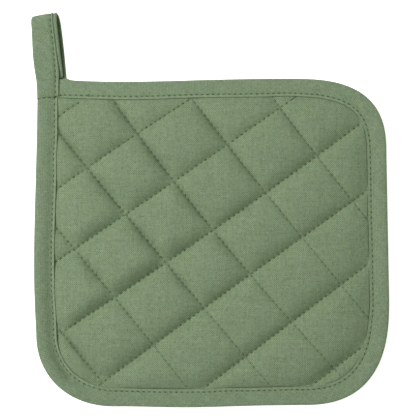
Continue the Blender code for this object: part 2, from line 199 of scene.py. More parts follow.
@dataclass(frozen=True)
class Pattern:
    """The pot holder's outline, clockwise from the looped corner."""

    sides: tuple[Side, ...] = (
        Side("top", (-107.0, 81.9), (49.6, 81.7), -2.0, 0.33, 11.0, (-0.5, -0.8), 2.76, 11.0,
             2.35, (0.5, 0.0)),
        Side("right", (109.25, 33.7), (110.95, -55.6), 0.0, 0.50, 11.8, (1.5, 1.3), 2.6, 13.0,
             2.35, (0.7, 0.1)),
        Side("bottom", (55.8, -120.8), (-58.2, -121.6), 0.9, 0.60, 11.3, (-0.4, -0.6), 2.15, 7.0,
             2.30, (0.5, 3.2)),
        Side("left", (-107.7, -75.5), (-106.9, 81.9), 1.6, 0.30, 12.5, (3.7, 2.2), 0.0, 12.0,
             2.65),
    )
    tape_start_x: float = -93.2      # the tape's first end, beside the loop
    cross_seam_y: float = 69.5       # the seam that crosses the tape below the loop
    cross_seam_x: Point = (-106.0, -90.5)  # its first hole, and how far its stitches go
    pad_corner_radius: float = 3.0   # the pad's corner under the loop
    sway: float = 0.22               # how much the tape's width wanders
    sway_length: float = 14.0        # and along how much of the tape
    short_of_frame: float = 0.35     # how far the right side stays inside the frame's
    # How far the tape's outer edge flares by the loop, how far from its end, and the flare's reach.
    flare: tuple[float, float, float] = (0.95, 3.2, 2.6)
    side_points: int = 400
    corner_points: int = 240

    def place(self) -> np.ndarray:
        """How far the frame has moved this pattern, worked out from the frame's taped edge.

        Returns:
            The move in X and Y.
        """
        low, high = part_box("edge_binding")
        outline = self.outline()[0]
        right, bottom = outline[:, 0].max() + self.short_of_frame, outline[:, 1].min()
        return np.array((high.x / MM - right, low.y / MM - bottom))

    def outline(self) -> tuple[np.ndarray, np.ndarray]:
        """The whole outline, drawn finely.

        Returns:
            Its points, and the tape's width and brow and the pad's ease and half thickness at each.
        """
        spots, tapes = [], []
        for side, following in zip(self.sides, self.sides[1:] + self.sides[:1]):
            share = np.linspace(0, 1, self.side_points)[:, None]
            start, end = np.array(side.start), np.array(side.end)
            along = end - start
            outward = np.array((-along[1], along[0])) / np.hypot(*along)
            bend = np.sin(math.pi * share ** (math.log(0.5) / math.log(side.peak))) ** 2
            spots.append(start + along * share + outward * side.bow * bend)
            first, here, there = (np.array((s.tape, s.brow[at], s.ease, s.half))
                                  for s, at in ((side, 0), (side, 1), (following, 0)))
            tapes.append(first + (here - first) * share)
            if side.squareness:
                spots.append(self.corner(side, following))
                steps = np.linspace(0, 1, self.corner_points + 2)[1:-1, None]
                bump = np.array((*side.corner, 0.0, 0.0)) * np.sin(math.pi * steps)
                tapes.append(here + (there - here) * steps + bump)
        return np.concatenate(spots), np.concatenate(tapes)

    def corner(self, side: Side, following: Side) -> np.ndarray:
        """The round corner between two sides.

        Args:
            side: The side before the corner.
            following: The side after it.

        Returns:
            The corner's points.
        """
        leave, arrive = np.array(side.end), np.array(following.start)
        across = side.name in ("top", "bottom")
        centre = np.array((leave[0], arrive[1]) if across else (arrive[0], leave[1]))
        turn = np.linspace(0, math.pi / 2, self.corner_points + 2)[1:-1, None]
        power = 2 / side.squareness
        fade, grow = np.cos(turn) ** power, np.sin(turn) ** power
        return centre + (leave - centre) * fade + (arrive - centre) * grow

    def stations(self, step: float) -> Stations:
        """Stations from the tape's first end to the cross seam, evenly spaced along its stitches.

        Args:
            step: The spacing, a whole share of the stitch pitch.

        Returns:
            The stations.
        """
        spots, tapes = self.outline()
        last_y = self.cross_seam_y - BUILD.cloth_gap
        looped = (spots[:, 0] < self.tape_start_x) & (spots[:, 1] > last_y)
        spots, tapes = spots[~looped], tapes[~looped]
        spots[0, 0] = self.tape_start_x
        spots[-1, 1] = last_y
        inward = self.inward_of(spots)
        sewn = spots + inward * (tapes[:, :1] - BUILD.stitch_inset)
        lengths = np.hypot(*np.diff(sewn, axis=0).T)
        along = np.concatenate(((0.0,), np.cumsum(lengths)))
        wanted = np.append(np.arange(0, along[-1] - step / 2, step), along[-1])
        rows = np.column_stack((spots, inward, tapes))
        rows = np.stack([np.interp(wanted, along, column) for column in rows.T], 1)
        rows[:, 4] += self.sway * Unevenness(31, self.sway_length).at(wanted, 0 * wanted)
        turned = rows[:, 2:4] / np.hypot(*rows[:, 2:4].T)[:, None]
        rise, middle, reach = self.flare
        flared = rise * np.exp(-((wanted - middle) / reach) ** 2)
        rows[:, 4] += flared
        return Stations(rows[:, :2] - turned * flared[:, None], turned, *rows[:, 4:].T, wanted)

    @staticmethod
    def inward_of(spots: np.ndarray) -> np.ndarray:
        """The way into the pad at each point of a path, whose two ends are cut square.

        Args:
            spots: The path's points.

        Returns:
            A unit direction for each.
        """
        reach = 9
        ahead = spots[np.minimum(np.arange(len(spots)) + reach, len(spots) - 1)]
        behind = spots[np.maximum(np.arange(len(spots)) - reach, 0)]
        along = ahead - behind
        along /= np.hypot(*along.T)[:, None]
        inward = np.stack((along[:, 1], -along[:, 0]), 1)
        inward[0] = (0.0, -1.0)
        inward[-1] = (1.0, 0.0)
        return inward


PATTERN = Pattern()
PLACE = PATTERN.place()


def cross_seam_lean(x: np.ndarray) -> np.ndarray:
    """How far the cross seam, which wanders as it crosses the tape, lies past its straight line.

    Args:
        x: Places across the tape.

    Returns:
        The lean towards +Y at each.
    """
    bends = ((-106.6, 68.7), (-100.4, 69.9), (-96.1, 69.6), (-94.2, 70.9), (-89.9, 71.3))
    across, up = zip(*bends)
    return np.interp(x, across, up) - PATTERN.cross_seam_y


def beside_cross_seam(spots: np.ndarray) -> np.ndarray:
    """Places beside the cross seam, for the slots between its stitches.

    Args:
        spots: The points' places on the pattern.

    Returns:
        How far along and how far across the seam each is, in metres, and 1.
    """
    reach, overrun = 3.0, 1.5
    first, last = PATTERN.cross_seam_x
    across = spots[:, 1] - PATTERN.cross_seam_y - cross_seam_lean(spots[:, 0])
    shown = np.where((np.abs(across) < reach) & (spots[:, 0] < last + overrun), across, FAR_ASIDE)
    along = spots[:, 0] - first
    return np.stack((along * MM, shown * MM, np.ones(len(spots))), 1)


@dataclass(frozen=True)
class Crease:
    """A soft trough in a cloth, from `start` to `end`, or a ridge if its depth is below 0. It
    fades over `reach`."""

    start: Point
    end: Point
    depth: float
    reach: float

    def depth_at(self, spots: np.ndarray) -> np.ndarray:
        """How deep it is at some places.

        Args:
            spots: The places.

        Returns:
            The depth at each.
        """
        way, along = spots - np.array(self.start), np.subtract(self.end, self.start)
        share = np.clip(way @ along / (along @ along), 0, 1)
        near = np.hypot(*(way - along * share[:, None]).T)
        return self.depth * np.exp(-(near / self.reach) ** 2)


# ================================================================ meshes and pieces
def new_mesh(name: str, spots: np.ndarray, faces: list, **values: np.ndarray) -> bpy.types.Mesh:
    """A smooth mesh from points in millimetres on the pattern.

    Args:
        name: The mesh's name.
        spots: Its points.
        faces: The corners of each face.
        **values: Numbers or vectors for each point, kept under these names.

    Returns:
        The mesh, in metres on the frame.
    """
    mesh = bpy.data.meshes.new(name)
    moved = np.array(spots, float)
    moved[:, :2] += PLACE
    mesh.from_pydata((moved * MM).tolist(), [], faces)
    for key, numbers in values.items():
        keep_values(mesh, key, numbers)
    if faces:
        mesh.shade_smooth()
    mesh.update()
    return mesh


def keep_values(mesh: bpy.types.Mesh, key: str, numbers: np.ndarray) -> None:
    """Keeps a number or a vector with each point of a mesh.

    Args:
        mesh: The mesh.
        key: The name to keep them under.
        numbers: One row for each point.
    """
    numbers = np.asarray(numbers, np.float32)
    kind, item = ("FLOAT", "value") if numbers.ndim == 1 else ("FLOAT_VECTOR", "vector")
    attribute = mesh.attributes.new(key, kind, "POINT")
    attribute.data.foreach_set(item, numbers.ravel())


def new_object(name: str, mesh: bpy.types.ID) -> bpy.types.Object:
    """An object at the origin that shows a mesh, or a light or camera.

    Args:
        name: The object's name.
        mesh: What it shows.

    Returns:
        The object.
    """
    thing = bpy.data.objects.new(name, mesh)
    bpy.context.scene.collection.objects.link(thing)
    return thing


def finish_piece(piece: bpy.types.Object, replaces: str | None = None) -> None:
    """Fixes a finished piece to the frame.

    Args:
        piece: The piece.
        replaces: The CAD node that it stands for.
    """
    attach(piece, "root")
    if replaces:
        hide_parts(replaces)
    mesh = piece.data
    mesh.calc_loop_triangles()
    LOG.info("%s: %d points, %d triangles", piece.name, len(mesh.vertices),
             len(mesh.loop_triangles))


def swept(rings: np.ndarray) -> list[tuple[int, ...]]:
    """The faces of a closed body through a row of like rings, with a cap at each end.

    Args:
        rings: The rings' points, as (ring, point, 3).

    Returns:
        The corners of each face, for the points in order.
    """
    count, size = rings.shape[:2]
    faces = []
    for ring in range(count - 1):
        first, second = ring * size, (ring + 1) * size
        for i in range(size):
            j = (i + 1) % size
            faces.append((first + i, first + j, second + j, second + i))
    faces.append(tuple(range(size))[::-1])
    faces.append(tuple((count - 1) * size + i for i in range(size)))
    return faces


# ================================================================ node trees
class Wire:
    """An output of a node. A sum written with it adds the nodes that work the sum out."""

    def __init__(self, bench: "Bench", socket: bpy.types.NodeSocket) -> None:
        """Keeps the output's socket and the bench that its node is on."""
        self.bench = bench
        self.socket = socket

    def __getitem__(self, output: int | str) -> "Wire":
        """Another output of the same node, by number or name."""
        return Wire(self.bench, self.socket.node.outputs[output])

    def __add__(self, other: Any) -> "Wire":
        """This and another wire or number."""
        return self.bench.math("ADD", self, other)

    def __sub__(self, other: Any) -> "Wire":
        """This less another wire or number."""
        return self.bench.math("SUBTRACT", self, other)

    def __rsub__(self, other: float) -> "Wire":
        """A number less this."""
        return self.bench.math("SUBTRACT", other, self)

    def __mul__(self, other: Any) -> "Wire":
        """This times another wire or number."""
        return self.bench.math("MULTIPLY", self, other)

    def __truediv__(self, other: Any) -> "Wire":
        """This over another wire or number."""
        return self.bench.math("DIVIDE", self, other)

    def __rtruediv__(self, other: float) -> "Wire":
        """A number over this."""
        return self.bench.math("DIVIDE", other, self)


class Bench:
    """Adds nodes to one tree and joins them up."""

    def __init__(self, tree: bpy.types.NodeTree) -> None:
        """Starts on a tree."""
        self.tree = tree

    def fill(self, node: bpy.types.Node, values: dict[Any, Any]) -> None:
        """Fills in the inputs of a node.

        Args:
            node: The node.
            values: For each input, by number or name, a wire to join to it or a value.
        """
        for key, value in values.items():
            if isinstance(value, Wire):
                self.tree.links.new(value.socket, node.inputs[key])
            else:
                node.inputs[key].default_value = value

    def add(self, kind: str, values: dict[Any, Any] | None = None, **settings: Any) -> Wire:
        """Adds a node.

        Args:
            kind: The node's type name.
            values: For each input, by number or name, a wire to join to it or a value.
            **settings: The node's own settings.

        Returns:
            Its first output.
        """
        node = self.tree.nodes.new(kind)
        for key, setting in settings.items():
            setattr(node, key, setting)
        self.fill(node, values or {})
        return Wire(self, node.outputs[0])

    def math(self, operation: str, *values: Any) -> Wire:
        """Adds a sum on numbers or wires, named as Blender names it."""
        return self.add("ShaderNodeMath", dict(enumerate(values)), operation=operation)

    def vector(self, operation: str, *values: Any, scale: Any = None) -> Wire:
        """Adds a sum on vectors.

        Args:
            operation: Which one, named as Blender names it.
            *values: Its vectors or wires.
            scale: The factor of a SCALE.

        Returns:
            The result.
        """
        kept: dict[Any, Any] = dict(enumerate(values))
        if scale is not None:
            kept["Scale"] = scale
        result = self.add("ShaderNodeVectorMath", kept, operation=operation)
        return result["Value"] if operation == "LENGTH" else result

    def point(self, x: Any = 0.0, y: Any = 0.0, z: Any = 0.0) -> Wire:
        """Adds a vector with these three parts."""
        return self.add("ShaderNodeCombineXYZ", {0: x, 1: y, 2: z})

    def bell(self, distance: Wire, reach: Any) -> Wire:
        """Adds a bell curve, 1 at no distance and a third at its reach."""
        share = distance / reach
        return self.math("EXPONENT", share * share * -1.0)

    def mix(self, share: Any, first: Any, second: Any, blend: str = "MIX") -> Wire:
        """Adds a mix of two colours.

        Args:
            share: How much of the second.
            first: The first colour.
            second: The second colour.
            blend: How they blend.

        Returns:
            The mixed colour.
        """
        one, other = (value if isinstance(value, Wire) else (*value, 1.0)
                      for value in (first, second))
        return self.add("ShaderNodeMix", {0: share, 6: one, 7: other}, data_type="RGBA",
                        blend_type=blend)[2]

    def kept(self, name: str, kind: str = "FLOAT") -> Wire:
        """Adds what a geometry's points keep under a name."""
        stored = self.add("GeometryNodeInputNamedAttribute", {"Name": name}, data_type=kind)
        return stored["Attribute"]

    def dress(self, geometry: Wire, cloth: Wire, out: bpy.types.Node) -> None:
        """Ends a geometry tree with a smooth plain mesh in its material.

        Args:
            geometry: What the tree has made.
            cloth: The material.
            out: The node that takes the tree's outputs.
        """
        smooth = self.add("GeometryNodeSetShadeSmooth", {"Geometry": geometry})
        realized = self.add("GeometryNodeRealizeInstances", {"Geometry": smooth})
        dressed = self.add("GeometryNodeSetMaterial", {"Geometry": realized, "Material": cloth})
        self.fill(out, {0: dressed})


def new_group(name: str, kind: str, inputs: dict[str, Any],
              outputs: dict[str, str]) -> tuple[Bench, Wire, bpy.types.Node]:
    """Starts a node group.

    Args:
        name: Its name.
        kind: Its type name.
        inputs: For each input its default, or the kind of socket if it has none.
        outputs: The kind of each output's socket.

    Returns:
        A bench on the group, the group's inputs as wires and the node that takes its outputs.
    """
    tree = bpy.data.node_groups.new(name, kind)
    kinds = {float: "Float", int: "Int", tuple: "Vector"}
    for key, value in inputs.items():
        sort = value if isinstance(value, str) else kinds[type(value)]
        if sort == "Vector" and len(value) == len(GREY):
            sort = "Color"
        socket = tree.interface.new_socket(key, in_out="INPUT", socket_type=f"NodeSocket{sort}")
        if sort != value:
            socket.default_value = value
    for key, sort in outputs.items():
        tree.interface.new_socket(key, in_out="OUTPUT", socket_type=f"NodeSocket{sort}")
    bench = Bench(tree)
    return bench, bench.add("NodeGroupInput"), tree.nodes.new("NodeGroupOutput")


def new_finish(name: str) -> tuple[bpy.types.Material, Bench, bpy.types.Node]:
    """Starts a material.

    Args:
        name: Its name.

    Returns:
        The material, a bench on its tree and its shader.
    """
    material = bpy.data.materials.new(name)
    material.use_nodes = True
    return material, Bench(material.node_tree), material.node_tree.nodes["Principled BSDF"]


def grown(source: bpy.types.Object, tree: bpy.types.NodeTree, name: str,
          **values: Any) -> bpy.types.Object:
    """Runs a geometry tree on an object and keeps the result as a plain mesh.

    Args:
        source: The object that the tree reads; it is removed afterwards.
        tree: The geometry tree.
        name: The new object's name.
        **values: The tree's inputs, by name with _ for a space.

    Returns:
        The new object.
    """
    modifier = source.modifiers.new("grow", "NODES")
    modifier.node_group = tree
    for socket in tree.interface.items_tree:
        key = socket.name.replace(" ", "_")
        if socket.in_out == "INPUT" and key in values:
            modifier[socket.identifier] = values[key]
    graph = bpy.context.evaluated_depsgraph_get()
    mesh = bpy.data.meshes.new_from_object(source.evaluated_get(graph))
    mesh.name = name
    source.modifiers.remove(modifier)
    bpy.data.objects.remove(source)
    return new_object(name, mesh)


# ================================================================ finishes
def woven_group() -> bpy.types.NodeTree:
    """The plain weave that every cloth here has: threads that pass over and under each other, each
    one uneven in tone along its length.

    Returns:
        The shader group. Its Place is in metres, with the threads along its X and Y.
    """
    bench, given, out = new_group(
        "plain_weave", "ShaderNodeTree",
        {"Place": (0.0, 0.0, 0.0), "Warp": GREY, "Weft": GREY, "Pitch": 0.0005, "Slub": 0.3,
         "Streak": 0.2, "Tint": 0.03, "Mottle": 0.1, "Gap": 0.2},
        {"Colour": "Color", "Relief": "Float"})
    thread_speeds = (0.24, 0.035)    # how fast a thread's slubs and its streaks go by, for a pitch
    thread_gap = 5.37                # between one thread's noise and the next one's
    blotch_scale = 0.45              # blotches for a pitch
    shading, bleaching = 0.6, 0.085  # how much a thick place darkens and pales the dye
    slub_height = 0.8

    apart = bench.add("ShaderNodeSeparateXYZ", {0: given["Place"]})
    across = [apart[axis] / given["Pitch"] for axis in (0, 1)]
    counted = [bench.math("FLOOR", place) for place in across]
    rounded = [bench.math("ABSOLUTE", bench.math("SINE", place * math.pi)) for place in across]
    warp_over = bench.math("PINGPONG", counted[0] + counted[1], 1.0)
    threads = []
    for axis, seed in ((0, 3.1), (1, 8.7)):
        tones = []
        for speed in thread_speeds:
            place = bench.point(counted[axis] * thread_gap, across[1 - axis] * speed,
                                seed + speed * 100)
            noise = bench.add("ShaderNodeTexNoise", {"Vector": place, "Scale": 1.0, "Detail": 1.0,
                                                     "Roughness": 0.6})
            tones.append(noise - 0.5)
        threads.append(tones[1] * given["Streak"] + tones[0] * given["Slub"])
    slub = bench.add("ShaderNodeMix", {0: warp_over, 2: threads[1], 3: threads[0]},
                     data_type="FLOAT")
    blotch = bench.add("ShaderNodeTexNoise", {
        "Vector": given["Place"], "Scale": blotch_scale / given["Pitch"], "Detail": 1.0})
    lift = slub + (blotch - 0.5) * given["Mottle"]
    pillow = bench.math("MINIMUM", *rounded)
    tone = lift * shading + 1.0 - (1.0 - pillow) * given["Gap"]
    plain = bench.mix(warp_over, given["Weft"], given["Warp"])
    dye = bench.add("ShaderNodeTexWhiteNoise", {"Vector": bench.point(*counted)},
                    noise_dimensions="3D")["Color"]
    dyed = bench.vector("SCALE", bench.vector("SUBTRACT", dye, (0.5, 0.5, 0.5)),
                        scale=given["Tint"])
    pale = lift * bleaching
    toned = bench.vector("ADD", bench.vector("SCALE", plain, scale=tone),
                         bench.vector("ADD", bench.point(pale, pale, pale), dyed))
    bench.fill(out, {"Colour": toned, "Relief": bench.math("SQRT", pillow) + slub * slub_height})
    return bench.tree


def sewn_group() -> bpy.types.NodeTree:
    """The marks that a row of stitches leaves in a cloth: painted shade in the slot between one
    thread and the next, a painted shade tint in the crease, and a painted highlight on the fold
    beside the row.

    Returns:
        The shader group. Its Place holds how far along a row and beside it a point is, in metres,
        and how plain the row is there, from 0 to 1.
    """
    bench, given, out = new_group(
        "stitch_slots", "ShaderNodeTree",
        {"Colour": GREY, "Place": (0.0, 0.0, 0.0), "Pitch": 0.0034, "Half Length": 0.0007,
         "Half Width": 0.0004, "Depth": 0.8, "Uneven": 0.3, "Crease Tint": (0.965, 1.0, 0.92, 1.0),
         "Crease Reach": 0.0035, "Lip Place": 0.00115, "Lip Reach": 0.0004, "Lip Gain": 0.0},
        {"Colour": "Color"})
    place = bench.add("ShaderNodeSeparateXYZ", {0: given["Place"]})
    aside, plain = place[1], place[2]
    beat = place / given["Pitch"]
    number = bench.math("ROUND", beat)
    off = (beat - number) * given["Pitch"]
    chance = bench.add("ShaderNodeTexWhiteNoise", {"W": number}, noise_dimensions="1D")["Value"]
    powers = [bench.math("POWER", bench.math("ABSOLUTE", share), 4.0)
              for share in (off / given["Half Length"], aside / given["Half Width"])]
    slot = bench.math("EXPONENT", (powers[0] + powers[1]) * -1.0)
    # Painted shade: the slot between two threads is darkened by Depth, more where the row shows.
    dark = slot * plain * (given["Depth"] * (1.0 - chance * given["Uneven"]))
    # Painted shade: a darker, greener tint in the crease beside the row, fading over Crease Reach.
    near = bench.math("ABSOLUTE", aside) / given["Crease Reach"]
    creased = bench.math("EXPONENT", near * -1.0) * plain
    tinted = bench.mix(creased, given["Colour"], given["Crease Tint"], "MULTIPLY")
    # Painted highlight: the fold beside the row is made paler by Lip Gain.
    lip = bench.bell(aside - given["Lip Place"], given["Lip Reach"])
    pale = lip * given["Lip Gain"] + 1.0
    bench.fill(out, {"Colour": bench.vector("SCALE", tinted, scale=pale * (1.0 - dark))})
    return bench.tree


@dataclass(frozen=True)
class Fleck:
    """A bit of odd fibre spun into the cloth, `reach` across from its middle to its end."""

    x: float
    y: float
    reach: float
    colour: Colour


@dataclass(frozen=True)
class Cloth:
    """A plain woven cotton in two close shades of thread."""

    name: str
    warp: Colour
    weft: Colour
    grain: Grain
    place: str = ""              # the attribute that holds the weave's place, or the object's own
    thread_pitch: float = 0.64
    slub: float = 0.66
    streak: float = 0.45
    tint: float = 0.027
    mottle: float = 0.28
    gap: float = 0.40
    relief: float = 0.12
    roughness: float = 0.93
    shine: float = 0.12
    sheen: float = 0.04
    sheen_roughness: float = 0.6
    sheen_tint: Colour = (0.8, 0.95, 0.75)
    # The slots between stitches: their size, and how dark they are painted as shade.
    slot_half_length: float = 0.85
    slot_half_width: float = 0.34
    slot_shade: float = 0.78
    slot_uneven: float = 0.25
    lip_gain: float = 0.14       # how much lighter the fold beside the stitches is painted: a painted highlight
    flecks: tuple[Fleck, ...] = ()

    def flecked(self, bench: Bench, place: Wire, colour: Wire) -> Wire:
        """Strews the cloth's flecks over it.

        Args:
            bench: Where its shader is built.
            place: The object's own place.
            colour: The cloth's colour so far.

        Returns:
            The colour with the flecks in it.
        """
        solid_part = 0.3             # of a fleck's reach, before it starts to fade
        for fleck in self.flecks:
            middle = np.add((fleck.x, fleck.y), PLACE) * MM
            offset = bench.vector("SUBTRACT", place, (*middle, 0.0))
            away = bench.vector("LENGTH", bench.vector("MULTIPLY", offset, (1.0, 1.0, 0.0)))
            mask = bench.add("ShaderNodeMapRange", {
                "Value": away, "From Min": solid_part * fleck.reach * MM,
                "From Max": fleck.reach * MM, "To Min": 1.0, "To Max": 0.0},
                interpolation_type="SMOOTHSTEP")
            colour = bench.mix(mask, colour, fleck.colour)
        return colour

    def material(self, weave: bpy.types.NodeTree, sewn: bpy.types.NodeTree) -> bpy.types.Material:
        """Makes the cloth's material.

        Args:
            weave: The weave's shader group.
            sewn: The sewing marks' shader group.

        Returns:
            The material.
        """
        material, bench, shader = new_finish(self.name)
        own = bench.add("ShaderNodeTexCoord")["Object"]
        place, rows = own, ["seam_place"]
        if self.place:
            place = bench.add("ShaderNodeAttribute", attribute_name=self.place)["Vector"]
            rows.append("cross_place")
        turned = bench.add("ShaderNodeMapping", {
            "Vector": place, "Rotation": (0.0, 0.0, math.radians(self.grain.value))})
        woven = bench.add("ShaderNodeGroup", {
            "Place": turned, "Warp": (*self.warp, 1.0), "Weft": (*self.weft, 1.0),
            "Pitch": self.thread_pitch * MM, "Slub": self.slub, "Streak": self.streak,
            "Tint": self.tint, "Mottle": self.mottle, "Gap": self.gap}, node_tree=weave)
        colour = woven["Colour"]
        # Each row of stitches paints shade in its slots and crease, and a highlight on the fold
        # beside it.
        for row in rows:
            colour = bench.add("ShaderNodeGroup", {
                "Colour": colour, "Pitch": BUILD.stitch_pitch * MM, "Depth": self.slot_shade,
                "Place": bench.add("ShaderNodeAttribute", attribute_name=row)["Vector"],
                "Half Length": self.slot_half_length * MM, "Uneven": self.slot_uneven,
                "Half Width": self.slot_half_width * MM,
                "Lip Gain": self.lip_gain if row == rows[0] else 0.0}, node_tree=sewn)
        bump = bench.add("ShaderNodeBump", {"Strength": 1.0, "Distance": self.relief * MM,
                                            "Height": woven["Relief"]})
        bench.fill(shader, {
            "Base Color": self.flecked(bench, own, colour), "Normal": bump,
            "Roughness": self.roughness, "Specular IOR Level": self.shine,
            "Sheen Weight": self.sheen, "Sheen Roughness": self.sheen_roughness,
            "Sheen Tint": (*self.sheen_tint, 1.0)})
        return material


@dataclass(frozen=True)
class SewingThread:
    """Spun sewing thread, a shade off the cloth, with its twist."""

    name: str = "sewing_thread"
    light: Colour = (0.215, 0.285, 0.180)
    dark: Colour = (0.130, 0.180, 0.105)
    twist_pitch: float = 0.55
    twist_depth: float = 0.05
    roughness: float = 0.8
    sheen: float = 0.2

    def material(self) -> bpy.types.Material:
        """Makes the thread's material.

        Returns:
            The material.
        """
        material, bench, shader = new_finish(self.name)
        twist = bench.add("ShaderNodeTexNoise", {
            "Vector": bench.add("ShaderNodeTexCoord")["Object"], "Detail": 2.0,
            "Scale": 1 / (self.twist_pitch * MM)})
        bump = bench.add("ShaderNodeBump", {"Strength": 0.6, "Distance": self.twist_depth * MM,
                                            "Height": twist})
        bench.fill(shader, {"Base Color": bench.mix(twist, self.dark, self.light), "Normal": bump,
                            "Roughness": self.roughness, "Sheen Weight": self.sheen})
        return material


def loop_brow(along: np.ndarray | float) -> np.ndarray:
    """How far the tape's outer edge curls up on its way up the loop.

    Args:
        along: How far each place lies past the cross seam.

    Returns:
        The height gained at the edge there.
    """
    lasting, fading = 0.14, 16.0
    first = PATTERN.sides[-1].brow[1]
    return lasting + (first - lasting) * np.clip(1 - along / fading, 0, 1) ** 2


# ================================================================ quilting
@dataclass(frozen=True)
class Seam:
    """A quilting seam. It runs from `start` to `end`, where it meets the tape, and its middle hangs
    `sag` towards -Y from the straight line. `pull` is how deep it draws the cloth in, from 0 to 1,
    at even steps from its start to its end. The line is the one that is seen, where the cloth
    turns from shade to light; the cloth lies lowest up to `tuck` beside it, on the shaded side."""

    name: str
    start: Point
    end: Point
    sag: float
    pull: tuple[float, ...]
    tuck: float = 1.05

    @property
    def length(self) -> float:
        """Its length."""
        return math.dist(self.start, self.end)

    @property
    def down(self) -> np.ndarray:
        """The unit direction across it that leads towards -Y.

        Returns:
            The direction.
        """
        along = np.subtract(self.end, self.start) / self.length
        side = np.array((along[1], -along[0]))
        return side if side[1] < 0 else -side

    @property
    def shade(self) -> float:
        """Which side of it is in shade: -1 is +Y's side and 1 is -Y's."""
        return -1.0 if self.end[1] > self.start[1] else 1.0

    def pull_at(self, shares: np.ndarray) -> np.ndarray:
        """How deep it draws the cloth in at some shares of its length."""
        return np.interp(shares, np.linspace(0, 1, len(self.pull)), self.pull)

    def aside(self, shares: np.ndarray) -> np.ndarray:
        """How far towards -Y the cloth's lowest line runs beside the one that is seen."""
        least, more = 0.7, 0.3
        return self.shade * self.tuck * (least + more * self.pull_at(shares))

    def points(self, shares: np.ndarray, offset: float = 0.0) -> np.ndarray:
        """Points on the seam, or beside it.

        Args:
            shares: The share of its length at each.
            offset: How far beside it they are.

        Returns:
            The points.
        """
        share = np.asarray(shares)[:, None]
        hang = self.sag * 4 * share * (1 - share)
        straight = np.array(self.start) + np.subtract(self.end, self.start) * share
        return straight + self.down * (hang + offset + self.aside(share))

    def measure(self, spots: np.ndarray) -> tuple[np.ndarray, np.ndarray]:
        """How far points are from the seam and along it.

        Args:
            spots: The points.

        Returns:
            Each one's distance across the seam, and its share of the seam's length.
        """
        way = spots - np.array(self.start)
        along = np.subtract(self.end, self.start)
        share = np.clip(way @ along / self.length ** 2, 0, 1)
        hang = self.sag * 4 * share * (1 - share)
        return way @ self.down - hang - self.aside(share), share


